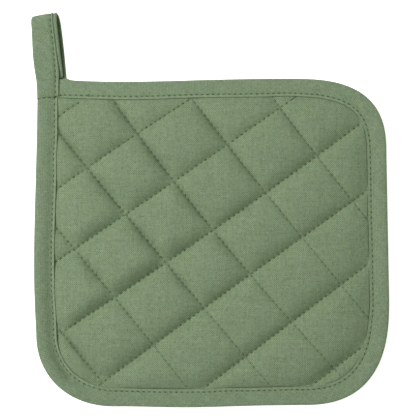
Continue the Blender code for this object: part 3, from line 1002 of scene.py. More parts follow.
@dataclass
class QuiltedPad:
    """Two face cloths over a filling, sewn through along crossing diagonals."""

    seams: tuple[Seam, ...] = (
        Seam("rising_1", (-92.5, 58.0), (-79.9, 66.6), -0.2, (0.65, 0.60)),
        Seam("rising_2", (-94.9, 12.1), (-12.4, 68.0), -0.5, (0.85, 0.65, 0.45)),
        Seam("rising_3", (-94.9, -32.5), (50.4, 67.6), 0.6, (1.00, 0.95, 0.80, 0.60, 0.40)),
        Seam("rising_4", (-94.2, -78.6), (93.8, 53.0), 1.8, (1.00, 1.00, 0.92, 0.80, 0.80)),
        Seam("rising_5", (-66.9, -108.1), (98.1, 11.6), -0.4, (0.96, 0.83, 0.85, 0.71, 0.70)),
        Seam("rising_6", (-3.5, -111.1), (98.7, -33.8), 0.1, (0.80, 0.70, 0.74)),
        Seam("rising_7", (63.6, -109.3), (94.3, -86.1), 0.2, (1.00, 1.00)),
        Seam("falling_1", (-94.4, -71.5), (-66.4, -105.7), 0.0, (1.00, 1.00), 0.55),
        Seam("falling_2", (-96.2, -8.5), (-13.4, -110.0), -0.8, (1.00, 0.85, 0.65, 0.15, 0.05),
             0.55),
        Seam("falling_3", (-94.2, 49.7), (39.0, -110.0), 0.5, (1.00, 1.00, 1.00, 0.20, 0.05),
             0.55),
        Seam("falling_4", (-59.9, 69.1), (82.3, -103.1), 3.4, (1.00, 1.00, 0.75, 0.20, 0.00),
             0.55),
        Seam("falling_5", (-10.7, 69.7), (97.7, -65.0), 1.0, (0.82, 0.80, 0.28, 0.03, 0.00),
             0.55),
        Seam("falling_6", (38.9, 70.8), (97.6, -5.0), 0.5, (0.74, 0.38, 0.06), 0.55),
    )
    swell: float = 2.8           # how far a puff with no seam near it would rise past its crest
    seam_half: float = 0.15      # half the pad's thickness right at a seam
    # How far a rising and a falling seam's sharp and wide dips reach, and the sharp one's share.
    rising_dip: tuple[float, float, float] = (3.3, 6.1, 0.20)
    falling_dip: tuple[float, float, float] = (2.5, 6.6, 0.54)
    # How rounded the bottom of a rising and of a falling seam's dip is.
    seam_round: Point = (0.45, 0.2)
    pull_widens: float = 0.3     # how much wider a rising seam's dip gets with its pull
    usual_pull: float = 0.8      # the pull at which it has the width that is given
    creases: tuple[Crease, ...] = (
        Crease((-94.0, 49.0), (-85.0, 38.2), 0.60, 0.9),
        Crease((-90.3, -77.0), (-82.0, -87.2), 0.60, 0.9),
        Crease((-58.0, 66.0), (-51.0, 57.6), 0.35, 0.9),
        Crease((-90.0, -66.0), (-28.0, -22.0), -1.50, 7.5),
        Crease((-90.0, -20.0), (-62.0, -1.0), -0.90, 7.0),
    )
    # How far from the tape's inner fold its steep dip reaches, and that dip's share.
    edge_dip: Point = (0.4, 0.02)
    groove_depth: float = 0.30   # of the narrow groove along every seam
    groove_half: float = 0.45
    hole_aside: float = 0.15     # how far towards -Y from a seam's lowest line its holes lie
    hole_half_width: float = 0.36
    hole_half_length: float = 0.66
    hole_depth: float = 0.45
    bridge_height: float = 0.42
    bridge_half: float = 0.6
    pucker_height: float = 0.26
    pucker_offset: float = 1.15
    pucker_half: float = 0.75
    ruffling: float = 0.6        # how much a pucker differs from the next
    wrinkle_height: float = 0.15
    wrinkle_length: float = 4.6
    wrinkle_reach: Point = (0.8, 3.6)  # how far from a seam a wrinkle starts and fades
    hump_height: float = 0.24
    hump_lengths: Point = (15.0, 7.0)
    falling_marks: Point = (0.54, 0.20)  # how plain a falling seam's marks are, and more by pull
    # Rows of points beside a seam: how far out, and how many to a stitch.
    seam_rows: tuple[tuple[float, int], ...] = (
        (0.0, 5), (0.22, 5), (0.5, 5), (0.95, 5), (1.5, 4), (2.3, 3), (3.4, 3))
    # Rows of points inside the tape's fold, and outside it under the tape.
    fold_rows: tuple[float, ...] = (-6.5, -3.5, -1.2, -0.45, -0.12, 0.06, 0.4, 0.9, 1.6, 2.6, 3.8)
    fold_step: float = 1.2
    fill_step: float = 2.0
    stations: Stations = field(init=False)

    def __post_init__(self) -> None:
        """Finds the tape's inner fold, which bounds the quilted area."""
        self.stations = PATTERN.stations(BUILD.stitch_pitch / 4)
        fold = self.stations.inset(self.stations.widths + BUILD.cloth_gap)
        self.fold = fold
        self.tree = KDTree(len(fold))
        for index, spot in enumerate(fold):
            self.tree.insert((*spot, 0.0), index)
        self.tree.balance()

    def fold_distance(self, spots: np.ndarray) -> np.ndarray:
        """How far points lie inside the tape's inner fold.

        Args:
            spots: The points.

        Returns:
            Each one's distance, below 0 under the tape.
        """
        nearest = self.nearest(spots)
        way = spots - self.fold[nearest]
        inside = (way * self.stations.inward[nearest]).sum(1)
        return np.where(np.abs(inside) > 1e-6, np.sign(inside), 1) * np.hypot(*way.T)

    def nearest(self, spots: np.ndarray) -> np.ndarray:
        """The number of the station nearest to each point."""
        return np.array([self.tree.find((*spot, 0.0))[1] for spot in spots])

    def curl_at(self, spots: np.ndarray, inside: np.ndarray) -> np.ndarray:
        """How far the pad curls up with its edge.

        Args:
            spots: The points.
            inside: How far each lies inside the tape's fold.

        Returns:
            The height gained at each.
        """
        rows, nearest = self.stations, self.nearest(spots)
        width = rows.widths[nearest]
        lift = curl(width + BUILD.cloth_gap + inside, width - BUILD.stitch_inset,
                    rows.brows[nearest])
        left, beyond = PATTERN.sides[-1].end[0], spots[:, 1] - PATTERN.cross_seam_y
        looped = (spots[:, 0] < PATTERN.tape_start_x) & (beyond > 0)
        up_loop = curl(spots[:, 0] - left, BUILD.loop_stitches, loop_brow(beyond))
        return np.where(looped, up_loop, lift)

    def rise(self, spots: np.ndarray, inside: np.ndarray, crest: float) -> np.ndarray:
        """How far the cloth of one face lies from the middle layer, without the small relief.

        Args:
            spots: The points.
            inside: How far each lies inside the tape's fold.
            crest: How far it lies at the top of a full puff.

        Returns:
            The distances.
        """
        steep, part = self.edge_dip
        inner = np.maximum(inside, 0)
        nearest = self.nearest(spots)
        eased = np.exp(-inner / self.stations.eases[nearest])
        drawn = part * np.exp(-inner / steep) + (1 - part) * eased
        puff = crest - (crest - self.stations.halves[nearest]) * drawn - self.seam_half
        for seam in self.seams:
            away, share = seam.measure(spots)
            pull = seam.pull_at(share)
            rising = seam.shade < 0
            near, far, part = self.rising_dip if rising else self.falling_dip
            bottom = self.seam_round[0 if rising else 1]
            off = np.hypot(away, bottom) - bottom
            sharp = np.exp(-off / near)
            wide = np.exp(-off / (far * (1 + self.pull_widens * (pull - self.usual_pull) * rising)))
            puff *= 1 - pull * (part * sharp + (1 - part) * wide)
        step_at, step_half, limit = -0.03, 0.04, 50
        taped = 1 / (1 + np.exp(np.clip((inside - step_at) / step_half, -limit, limit)))
        return (self.seam_half + puff) * (1 - taped) + BUILD.sewn_half * taped

    def sewing(self, spots: np.ndarray, inside: np.ndarray) -> tuple[np.ndarray, np.ndarray]:
        """What the sewing does to the cloth at each point.

        Args:
            spots: The points.
            inside: How far each lies inside the tape's fold.

        Returns:
            Its small relief, and its place beside the nearest seam: how far along, how far across
            and whether the seam shows.
        """
        hole = np.zeros(len(spots))
        relief = np.zeros(len(spots))
        nearest = np.full(len(spots), np.inf)
        drawing = np.zeros(len(spots))
        place = np.zeros((len(spots), 3))
        least, more = self.falling_marks
        for number, seam in enumerate(self.seams):
            away, share = seam.measure(spots)
            near, side = np.abs(away), np.sign(away)
            along = share * seam.length
            pull = seam.pull_at(share)
            beat = along / BUILD.stitch_pitch
            off = (beat - np.round(beat)) * BUILD.stitch_pitch
            beside = (away - self.hole_aside) / self.hole_half_width
            here = np.exp(-beside ** 2 - (off / self.hole_half_length) ** 2)
            hole = np.maximum(hole, here)
            closer = near < nearest
            nearest[closer] = near[closer]
            drawing[closer] = pull[closer]
            plain = np.ones(len(along)) if seam.shade < 0 else least + more * pull
            row = np.stack((along, beside * self.hole_half_width, plain), 1)
            place[closer] = row[closer]
            # Each side of each seam has puckers and wrinkles of its own.
            ruffle = Unevenness(40 + number, BUILD.stitch_pitch).at(along, side * 50.5)
            between = 0.5 - 0.5 * np.cos(2 * math.pi * beat)
            swell = np.exp(-((near - self.pucker_offset) / self.pucker_half) ** 2)
            relief += self.pucker_height * pull * swell * (between + self.ruffling * ruffle)
            bridge = between * np.exp(-(near / self.bridge_half) ** 2)
            relief += self.bridge_height * pull * bridge
            drawn = Unevenness(70 + number, self.wrinkle_length).at(along, side * 70.5)
            start, end = self.wrinkle_reach
            fade = np.exp(-near / end) * (1 - np.exp(-near / start))
            relief += self.wrinkle_height * pull * drawn * fade
        shows_from, steepness = -0.2, 6
        covered = 1 / (1 + np.exp(-(inside - shows_from) * steepness))
        relief -= self.hole_depth * hole
        relief -= self.groove_depth * (1 - 0.7 * drawing) * np.exp(-nearest / self.groove_half)
        relief -= sum(crease.depth_at(spots) for crease in self.creases)
        large, small = (Unevenness(seed, length).at(spots[:, 0], spots[:, 1] + 300)
                        for seed, length in zip((7, 8), self.hump_lengths))
        from_tape = 6
        full = 1 - np.exp(-np.maximum(inside, 0) / from_tape)
        relief += self.hump_height * (large + 0.5 * small) * full
        place[:, 2] *= covered
        return relief * covered, place

    def plan(self) -> tuple[np.ndarray, list[Point]]:
        """The points of the pad's plan.

        Returns:
            The points inside the rim, and the rim's own.
        """
        groups = []
        for seam in self.seams:
            for offset, share in self.seam_rows:
                shares = np.arange(0, seam.length, BUILD.stitch_pitch / share) / seam.length
                clearance = 0.5 * offset + 0.3
                for side in ((1,) if offset == 0 else (-1, 1)):
                    row = seam.points(shares, side * offset)
                    for other in self.seams:
                        if other is not seam:
                            row = row[np.abs(other.measure(row)[0]) > clearance]
                    groups.append(row)
        spots = np.concatenate(groups)
        spots = spots[self.fold_distance(spots) > self.fold_rows[-1] * 0.2]
        fold_count = int(self.stations.along[-1] / self.fold_step)
        wanted = np.linspace(0, len(self.fold) - 1, fold_count).round().astype(int)
        rows = [self.fold[wanted] + self.stations.inward[wanted] * depth
                for depth in self.fold_rows]
        clear = self.clear_of_seams(np.concatenate(rows), 0.5)
        return np.concatenate((spots, clear, self.fill())), self.rim()

    def clear_of_seams(self, spots: np.ndarray, distance: float) -> np.ndarray:
        """The points that stay clear of every seam.

        Args:
            spots: The points to choose from.
            distance: How far off they have to be.

        Returns:
            The points that are.
        """
        for seam in self.seams:
            spots = spots[np.abs(seam.measure(spots)[0]) > distance]
        return spots

    def fill(self) -> np.ndarray:
        """A staggered net of points over the puffs, away from the seams and the tape.

        Returns:
            The points.
        """
        margin = 0.8
        low, high = self.fold.min(0), self.fold.max(0)
        row_step = self.fill_step * math.sqrt(0.75)
        rows = []
        for number, y in enumerate(np.arange(low[1], high[1], row_step)):
            x = np.arange(low[0] + number % 2 * self.fill_step / 2, high[0], self.fill_step)
            rows.append(np.stack((x, np.full(len(x), y)), 1))
        spots = self.clear_of_seams(np.concatenate(rows), self.seam_rows[-1][0] + margin)
        return spots[self.fold_distance(spots) > self.fold_rows[-1] + margin]

    def rim(self) -> list[Point]:
        """The pad's own edge inside the tape, with its corner under the loop.

        Returns:
            The edge's points, anticlockwise.
        """
        radius = PATTERN.pad_corner_radius
        left = PATTERN.sides[-1].end[0] + BUILD.rim_inset + radius
        top = PATTERN.sides[0].start[1] - BUILD.rim_inset - radius
        turns = np.radians((180, 150, 120, 90))
        corner = np.stack((left + radius * np.cos(turns), top + radius * np.sin(turns)), 1)
        edge = self.stations.inset(BUILD.rim_inset)[::3]
        return np.concatenate((edge, corner))[::-1].tolist()

    def surface(self, spots: np.ndarray, inside: np.ndarray, relief: np.ndarray,
                face: Face) -> np.ndarray:
        """The height of one face at each point.

        Args:
            spots: The points.
            inside: How far each lies inside the tape's fold.
            relief: The small relief there.
            face: Which face.

        Returns:
            The heights.
        """
        crest = BUILD.crest if face is Face.FRONT else BUILD.back_crest
        rise = self.rise(spots, inside, crest + self.swell) + relief
        lift = self.curl_at(spots, inside)
        return np.maximum(BUILD.mid_plane + face.value * rise + lift, 0.0)

    def make(self, cloth: bpy.types.Material) -> bpy.types.Object:
        """Builds and dresses the pad.

        Args:
            cloth: The face cloth's material.

        Returns:
            The finished piece.
        """
        inner, rim = self.plan()
        plan = [Vector(spot) for spot in rim] + [Vector(spot) for spot in inner.tolist()]
        merge_within = 0.12
        flat, _, faces, *_ = delaunay_2d_cdt(plan, [], [list(range(len(rim)))], 1, merge_within)
        spots = np.array([tuple(spot) for spot in flat])
        inside = self.fold_distance(spots)
        relief, place = self.sewing(spots, inside)
        layers = [np.column_stack((spots, self.surface(spots, inside, relief, face)))
                  for face in Face]
        count = len(spots)
        sheets = [tuple(corners) for corners in faces]
        sheets += [tuple(i + count for i in reversed(corners)) for corners in faces]
        sheets += self.wall(faces, count)
        place[:, :2] *= MM
        mesh = new_mesh("quilted_cloth", np.concatenate(layers), sheets,
                        seam_place=np.tile(place, (2, 1)))
        mesh.materials.append(cloth)
        piece = new_object("quilted_cloth", mesh)
        finish_piece(piece, "quilted_pad")
        return piece

    @staticmethod
    def wall(faces: list, count: int) -> list[tuple[int, ...]]:
        """The faces that join the two layers along the rim.

        Args:
            faces: The front's faces.
            count: How many points a layer has.

        Returns:
            The corners of each face.
        """
        edges = {(a, b) for corners in faces
                 for a, b in zip(corners, list(corners[1:]) + [corners[0]])}
        return [(b, a, a + count, b + count) for a, b in edges if (b, a) not in edges]


# ================================================================ taped edge
def tape_tree() -> bpy.types.NodeTree:
    """Folds a tape round an edge: a section swept along stations, with its stitches and unevenness.

    Returns:
        The geometry tree. Its input is a line through the stations, which keep `inward`, `along`,
        `extra` and `swell`, and the section object's points keep `depth`, `height`, `up`, `slide`,
        `valley`, `soft`, `brow`, `girth` and `beside`.
    """
    bench, given, out = new_group(
        "tape_round_edge", "GeometryNodeTree",
        {"Geometry": "Geometry", "Section": "Object", "Middle": 0.0055, "Stitch Pitch": 0.0034,
         "Hole Depth": 0.0004, "Hole Length": 0.0006, "Puckering": 0.0003, "Puckers": 95.0,
         "Seed": 1.0, "Cloth": "Material"},
        {"Geometry": "Geometry"})
    section = bench.add("GeometryNodeObjectInfo", {"Object": given["Section"]})["Geometry"]
    ring = bench.add("GeometryNodeMeshToCurve", {"Mesh": section})
    path = bench.add("GeometryNodeMeshToCurve", {"Mesh": given["Geometry"]})
    tape = bench.add("GeometryNodeCurveToMesh", {
        "Curve": path, "Profile Curve": ring, "Fill Caps": True})

    along, girth = bench.kept("along"), bench.kept("girth")
    beat = along / given["Stitch Pitch"]
    off = (beat - bench.math("ROUND", beat)) * given["Stitch Pitch"]
    hole = bench.bell(off, given["Hole Length"]) * bench.kept("valley")
    noise = bench.add("ShaderNodeTexNoise", {
        "Vector": bench.point(along, girth), "W": given["Seed"], "Scale": given["Puckers"],
        "Detail": 1.0}, noise_dimensions="4D")
    folds = (noise - 0.5) * given["Puckering"] * bench.kept("soft")
    small = (folds - hole * given["Hole Depth"]) * bench.kept("up")
    lift = bench.kept("brow") * bench.kept("swell") + small
    height = bench.kept("height") + lift + given["Middle"]
    reach = bench.kept("extra") * bench.kept("slide") + bench.kept("depth")

    edge = bench.vector("MULTIPLY", bench.kept("station", "FLOAT_VECTOR"), (1.0, 1.0, 0.0))
    inner = bench.vector("SCALE", bench.kept("inward", "FLOAT_VECTOR"), scale=reach)
    raised = bench.vector("ADD", bench.vector("ADD", edge, inner), bench.point(z=height))
    tape = bench.add("GeometryNodeSetPosition", {"Geometry": tape, "Position": raised})
    for name, value in (("tape_place", bench.point(along, girth)),
                        ("seam_place", bench.point(along, bench.kept("beside"), 1.0))):
        tape = bench.add("GeometryNodeStoreNamedAttribute", {
            "Geometry": tape, "Name": name, "Value": value},
            data_type="FLOAT_VECTOR", domain="POINT")
    bench.dress(tape, given["Cloth"], out)
    return bench.tree


@dataclass
class EdgeBinding:
    """The tape folded round the pad's edge, from beside the loop to the cross seam."""

    nominal_width: float = 11.6
    valley_depth: float = 0.12
    lip_rise: float = 0.17       # how much higher its inner fold lies than its middle
    hole_depth: float = 0.36
    hole_half_length: float = 0.72
    puckering: float = 0.7
    seed: float = 4.0
    seam_dip: float = 0.28       # how far the cross seam draws the tape's end in
    creases: tuple[Crease, ...] = (
        Crease((-97.0, -82.0), (-93.6, -91.0), 0.22, 1.5),
        Crease((-93.6, -91.0), (-86.4, -105.0), 0.50, 1.7),
        Crease((-86.4, -105.0), (-80.0, -110.5), 0.22, 1.5),
    )
    stations: Stations = field(init=False)

    def __post_init__(self) -> None:
        """Lays out the stations along the edge."""
        self.stations = PATTERN.stations(BUILD.stitch_pitch / 4)

    def section(self) -> list[tuple[float, float, float, float]]:
        """The upper half of the folded tape's section.

        Returns:
            For each point its depth in from the edge, its height over the middle layer, how much
            of a needle hole it takes and how much it puckers.
        """
        width, lining, top = self.nominal_width, BUILD.lining, BUILD.tape_top
        stitch = width - BUILD.stitch_inset
        flat_from = stitch - BUILD.flat_beside
        rows = []
        for angle in (8, 24, 40, 56, 73, 90):
            turn = math.radians(angle)
            rise = math.sin(turn)
            rows.append((BUILD.edge_rounding * (1 - math.cos(turn)), top * rise, 0.0, 0.3 * rise))
        for share in (0.2, 0.4, 0.6, 0.8):
            depth = BUILD.edge_rounding + (flat_from - BUILD.edge_rounding) * share
            rows.append((depth, top - 0.03 * share, 0.0, 1.0))
        rows += [
            (flat_from, top - 0.05, 0.0, 0.8),
            (stitch - 0.48, top - 0.8 * self.valley_depth, 0.1, 0.5),
            (stitch - 0.24, top - self.valley_depth, 0.7, 0.2),
            (stitch, top - 0.8 * self.valley_depth, 1.0, 0.1),
            (stitch + 0.24, top - 0.4 * self.valley_depth, 0.7, 0.1),
            (stitch + 0.50, top - 0.1 * self.valley_depth, 0.1, 0.2),
            (stitch + 0.80, top, 0.0, 0.3),
            (stitch + 1.10, top + 0.2 * self.lip_rise, 0.0, 0.3),
            (stitch + 1.36, top + 0.6 * self.lip_rise, 0.0, 0.3),
            (stitch + 1.56, top + self.lip_rise, 0.0, 0.3),
            (stitch + 1.72, top + self.lip_rise - 0.02, 0.0, 0.2),
            (stitch + 1.85, top + self.lip_rise - 0.16, 0.0, 0.2),
            (width + 0.22, lining + 0.60, 0.0, 0.1),
            (width + 0.18, lining + 0.25, 0.0, 0.1),
            (width, lining, 0.0, 0.0),
            (width - 1.2, lining, 0.0, 0.0),
            (width * 0.5, lining, 0.0, 0.0),
            (BUILD.tape_wall + 1.0, lining, 0.0, 0.0),
            (BUILD.tape_wall, 0.5 * BUILD.sewn_half, 0.0, 0.0),
        ]
        return rows

    def section_object(self) -> bpy.types.Object:
        """The whole section, as a ring of points that keep what the tape's tree reads.

        Returns:
            The ring.
        """
        upper = self.section()
        ring = [(*point, 1.0) for point in upper]
        ring += [(depth, -height, *rest, -1.0) for depth, height, *rest in reversed(upper)]
        depth, height, valley, soft, up = np.array(ring).T
        brow = curl(depth, self.nominal_width - BUILD.stitch_inset, 1.0)
        steps = np.hypot(np.diff(depth), np.diff(height))
        girth = np.concatenate(((0.0,), np.cumsum(steps)))
        sliding_over = self.nominal_width - 5
        slide = np.clip((depth - BUILD.edge_rounding) / sliding_over, 0, 1)
        beside = depth - (self.nominal_width - BUILD.stitch_inset)
        beside[np.abs(height) < BUILD.lining + 0.01] = FAR_ASIDE
        mesh = bpy.data.meshes.new("tape_section")
        count = len(ring)
        edges = [(i, (i + 1) % count) for i in range(count)]
        mesh.from_pydata(np.stack((depth, height, 0 * depth), 1) * MM, edges, [])
        for key, numbers in (("depth", depth * MM), ("height", height * MM), ("valley", valley),
                             ("soft", soft), ("brow", brow), ("up", up), ("slide", slide),
                             ("girth", girth * MM), ("beside", beside * MM)):
            keep_values(mesh, key, numbers)
        return new_object("tape_section", mesh)

    def station_object(self) -> bpy.types.Object:
        """A line through the stations, whose points keep what the tape's tree reads.

        Returns:
            The line.
        """
        rows = self.stations
        count = len(rows.spots)
        spots = np.column_stack((rows.spots + PLACE, np.zeros(count))) * MM
        mesh = bpy.data.meshes.new("tape_stations")
        mesh.from_pydata(spots.tolist(), [(i, i + 1) for i in range(count - 1)], [])
        keep_values(mesh, "station", spots)
        keep_values(mesh, "inward", np.column_stack((rows.inward, np.zeros(count))))
        keep_values(mesh, "along", rows.along * MM)
        keep_values(mesh, "extra", (rows.widths - self.nominal_width) * MM)
        keep_values(mesh, "swell", rows.brows * MM)
        return new_object("tape_stations", mesh)

    def make(self, cloth: bpy.types.Material) -> bpy.types.Object:
        """Builds and dresses the taped edge.

        Args:
            cloth: The tape's material.

        Returns:
            The finished piece.
        """
        section = self.section_object()
        piece = grown(self.station_object(), tape_tree(), "folded_tape", Section=section,
                      Middle=BUILD.mid_plane * MM, Stitch_Pitch=BUILD.stitch_pitch * MM,
                      Hole_Depth=self.hole_depth * MM, Hole_Length=self.hole_half_length * MM,
                      Puckering=self.puckering * MM, Seed=self.seed, Cloth=cloth)
        bpy.data.objects.remove(section)
        self.draw_in_end(piece.data)
        finish_piece(piece, "edge_binding")
        return piece

    def draw_in_end(self, mesh: bpy.types.Mesh) -> None:
        """Leans the tape's last end along the cross seam, draws it in there and creases the tape.

        Args:
            mesh: The tape's mesh.
        """
        spots = np.zeros(len(mesh.vertices) * 3)
        mesh.vertices.foreach_get("co", spots)
        spots = spots.reshape(-1, 3) / MM
        plan = spots[:, :2] - PLACE
        below, middle = PATTERN.cross_seam_y - plan[:, 1], BUILD.mid_plane
        reach = BUILD.lean_reach + 1
        near = (plan[:, 0] < PATTERN.tape_start_x - BUILD.cloth_gap) & (below < reach)
        share = np.clip(1 - below / BUILD.lean_reach, 0, 1) * near
        meeting = 2.0
        meets = np.clip((meeting - below) / (meeting - BUILD.cloth_gap), 0, 1) * near
        spots[:, 1] += cross_seam_lean(plan[:, 0]) * share ** 2
        spots[:, 1] += BUILD.end_gain * BUILD.cloth_gap * meets
        dip = self.seam_dip * np.exp(-(below / BUILD.dip_reach) ** 2) * near
        spots[:, 2] = middle + (spots[:, 2] - middle) * (1 - dip / BUILD.tape_top)
        creased_from = 1.5
        for crease in self.creases:
            upper = np.clip((spots[:, 2] - middle) / creased_from - 1, 0, 1)
            spots[:, 2] -= crease.depth_at(plan) * upper
        mesh.vertices.foreach_set("co", (spots * MM).ravel())
        keep_values(mesh, "cross_place", beside_cross_seam(spots[:, :2] - PLACE))
        mesh.update()


# ================================================================ hanging loop
@dataclass(frozen=True)
class LoopSection:
    """A section of the loop's tape. `y`, `z` and `left` place it, `width` is the half of the tape
    outside the loop and `under` how far the other half stands out past it. `skew` is how much
    further from the pad the right edge lies than the left one, `spread` parts the halves and
    `inset` is how far in from the fold its stitches run."""

    y: float
    z: float
    left: float
    width: float
    under: float
    skew: float
    spread: float
    inset: float = 1.5


@dataclass
class HangingLoop:
    """The tape run on past the corner, doubled back over its end and sewn down behind."""

    sections: tuple[LoopSection, ...] = (
        LoopSection(69.8, 5.50, -107.2, 13.6, 0.0, 0.0, 3.0, 2.0),
        LoopSection(75.0, 5.50, -107.4, 13.8, 0.0, 0.0, 3.0, 2.2),
        LoopSection(81.1, 5.50, -107.9, 14.3, 0.0, 0.2, 3.0, 2.3),
        LoopSection(81.6, 5.60, -108.0, 14.5, 2.3, 0.3, 2.6, 2.3),
        LoopSection(84.8, 6.70, -108.4, 15.0, 2.2, 0.6, 1.6, 2.3),
        LoopSection(89.0, 7.60, -109.0, 15.1, 2.2, 1.0, 1.0, 2.1),
        LoopSection(95.7, 8.70, -109.7, 14.9, 2.3, 1.0, 0.4, 1.6),
        LoopSection(104.0, 9.50, -110.1, 14.3, 2.4, 1.0, 0.3),
        LoopSection(112.0, 9.70, -110.4, 13.6, 2.4, 1.6, 0.3),
        LoopSection(116.6, 9.20, -110.8, 13.5, 2.4, 2.4, 0.3),
        LoopSection(119.8, 6.90, -110.8, 13.4, 2.4, 2.9, 0.3),
        LoopSection(120.0, 3.90, -110.3, 13.4, 2.4, 2.9, 0.3),
        LoopSection(117.8, 1.70, -109.4, 13.4, 2.4, 2.6, 0.3),
        LoopSection(112.5, 1.15, -108.3, 13.6, 2.2, 1.9, 0.3),
        LoopSection(100.0, 1.15, -106.9, 13.9, 2.0, 1.8, 0.3),
        LoopSection(88.0, 1.15, -105.8, 14.0, 2.0, 1.6, 0.3),
        LoopSection(80.0, 1.15, -105.2, 14.0, 2.1, 0.8, 0.3),
        LoopSection(71.0, 1.15, -105.0, 14.0, 2.1, 0.0, 0.3),
    )
    fold_rounding: float = 0.84  # its fold's depth for its half thickness
    valley_depth: float = 0.42
    lip_drop: float = 0.14
    hole_depth: float = 0.40
    hole_half_length: float = 0.72
    puckering: float = 0.22
    pucker_length: float = 9.0
    seam_dip: float = 0.25
    standing: float = 0.75       # how much its under half rises where it stands out
    rows: np.ndarray = field(init=False)
    along: np.ndarray = field(init=False)

    def __post_init__(self) -> None:
        """Lays out smooth sections, evenly spaced along the tape."""
        table = np.array([tuple(vars(section).values()) for section in self.sections])
        padded = np.concatenate((table[:1], table, table[-1:]))
        share = np.linspace(0, 1, 40, endpoint=False)[:, None]
        square, cube = share ** 2, share ** 3
        pieces = []
        for before, a, b, after in zip(padded, padded[1:], padded[2:], padded[3:]):
            pieces.append((2 * cube - 3 * square + 1) * a + (cube - 2 * square + share)
                          * (b - before) / 2 + (3 * square - 2 * cube) * b
                          + (cube - square) * (after - a) / 2)
        fine = np.concatenate(pieces + [table[-1:]])
        fine[:, 4] = np.maximum(fine[:, 4], 0)
        lying = fine[:, 6] / 2 + BUILD.tape_wall
        fine[:, 1] = np.maximum(fine[:, 1], lying)
        lengths = np.hypot(np.diff(fine[:, 0]), np.diff(fine[:, 1]))
        along = np.concatenate(((0.0,), np.cumsum(lengths)))
        self.along = np.arange(0, along[-1], BUILD.stitch_pitch / 4)
        self.rows = np.stack([np.interp(self.along, along, column) for column in fine.T], 1)

    def half(self, wide: float, inside: float, inset: float) -> list[tuple[float, ...]]:
        """Half of a section, from its right edge to the fold on the left.

        Args:
            wide: How wide this half is.
            inside: Half the space between the two halves.
            inset: How far in from its right edge the stitches run.

        Returns:
            For each point its place across, its distance out from the loop's middle line, how much
            of a needle hole it takes and how much it puckers.
        """
        out = inside + BUILD.tape_wall
        stitch = wide - inset
        flat_from = stitch - 1.3
        lip = out - self.lip_drop
        whole = 2.3
        room = min(inset, whole) / whole
        points = [
            (wide - 0.15, inside, 0.0, 0.0),
            (wide, inside + 0.25, 0.0, 0.1),
            (wide - 0.05, lip - 0.36, 0.0, 0.2),
            (wide - 0.25 * room, lip - 0.12, 0.0, 0.3),
            (wide - 0.65 * room, lip, 0.0, 0.3),
            (wide - 1.10 * room, lip + 0.03, 0.0, 0.3),
            (stitch + 0.75 * room, lip - 0.07, 0.1, 0.2),
            (stitch + 0.35 * room, out - 0.8 * self.valley_depth, 0.7, 0.1),
            (stitch, out - self.valley_depth, 1.0, 0.1),
            (stitch - 0.35, out - 0.85 * self.valley_depth, 0.7, 0.2),
            (stitch - 0.75, out - 0.35 * self.valley_depth, 0.1, 0.5),
            (flat_from, out, 0.0, 0.8),
        ]
        depth = self.fold_rounding * out
        for share in (0.8, 0.6, 0.4, 0.2):
            place = depth + (flat_from - depth) * share
            points.append((place, out, 0.0, 1.0))
        for angle in (90, 73, 56, 40, 24, 8):
            turn = math.radians(angle)
            points.append((depth * (1 - math.cos(turn)), out * math.sin(turn), 0.0,
                           0.3 * math.sin(turn)))
        return points

    def outward_at(self, index: int) -> np.ndarray:
        """The way out of the loop at one section, in Y and Z.

        Args:
            index: The section's number.

        Returns:
            The unit direction.
        """
        before, after = self.rows[max(index - 1, 0)], self.rows[min(index + 1, len(self.rows) - 1)]
        way = after[:2] - before[:2]
        way /= np.hypot(*way)
        return np.array((-way[1], way[0]))

    def spots_at(self, index: int, across: np.ndarray | float,
                 out: np.ndarray | float) -> np.ndarray:
        """Points on one section.

        Args:
            index: The section's number.
            across: How far across the tape each point is, from its fold.
            out: How far out from the tape's middle line each is.

        Returns:
            The points.
        """
        y, z, left, width, _, skew, *_ = self.rows[index]
        outward = self.outward_at(index)
        lead = skew * (across / width - 0.5)
        return np.stack((left + across, y + lead + outward[0] * out, z + outward[1] * out), -1)

    def rings(self) -> tuple[np.ndarray, np.ndarray, np.ndarray]:
        """The loop's sections, one after the other.

        Returns:
            The sections' points, their places beside the stitches and on the flat tape.
        """
        beat = self.along / BUILD.stitch_pitch
        off = (beat - np.round(beat)) * BUILD.stitch_pitch
        pierced = np.exp(-(off / self.hole_half_length) ** 2)
        folds = Unevenness(21, self.pucker_length)
        meeting = 2.0 - BUILD.cloth_gap
        beside_fold, full_rise_at = BUILD.tape_wall + 0.6, 1.5
        rings, seams, places = [], [], []
        for i, (_, _, left, width, under, _, spread, inset) in enumerate(self.rows):
            inside, along = spread / 2, self.along[i]
            outer = self.half(width, inside, inset)
            inner = self.half(width + under, inside, under + inset)
            profile = [(*point, 1.0) for point in outer]
            profile += [(a, -o, *rest, -1.0) for a, o, *rest in reversed(inner)]
            rise = self.standing * min(1.0, under / full_rise_at)
            profile += [(width + under * out_share, rise * up_share - inside, 0.0, 0.0, -1.0)
                        for out_share, up_share in ((0.90, 0.5), (0.75, 0.9), (0.50, 1.0),
                                                    (0.28, 0.8), (0.10, 0.2))]
            profile += [(beside_fold, -inside, 0.0, 0.0, -1.0),
                        (BUILD.tape_wall, 0.0, 0.0, 0.0, 1.0),
                        (beside_fold, inside, 0.0, 0.0, 1.0)]
            across, out, hole, soft, up = np.array(profile).T
            fold = folds.at(along + 100, across * up + 40) * soft * self.puckering
            out = out + up * (fold - hole * pierced[i] * self.hole_depth)
            out = out + curl(across, width - inset, loop_brow(along))
            lean = cross_seam_lean(left + across) * max(0.0, 1 - along / BUILD.lean_reach) ** 2
            lean = lean - BUILD.end_gain * BUILD.cloth_gap * max(0.0, 1 - along / meeting)
            dip = self.seam_dip * math.exp(-(along / BUILD.dip_reach) ** 2)
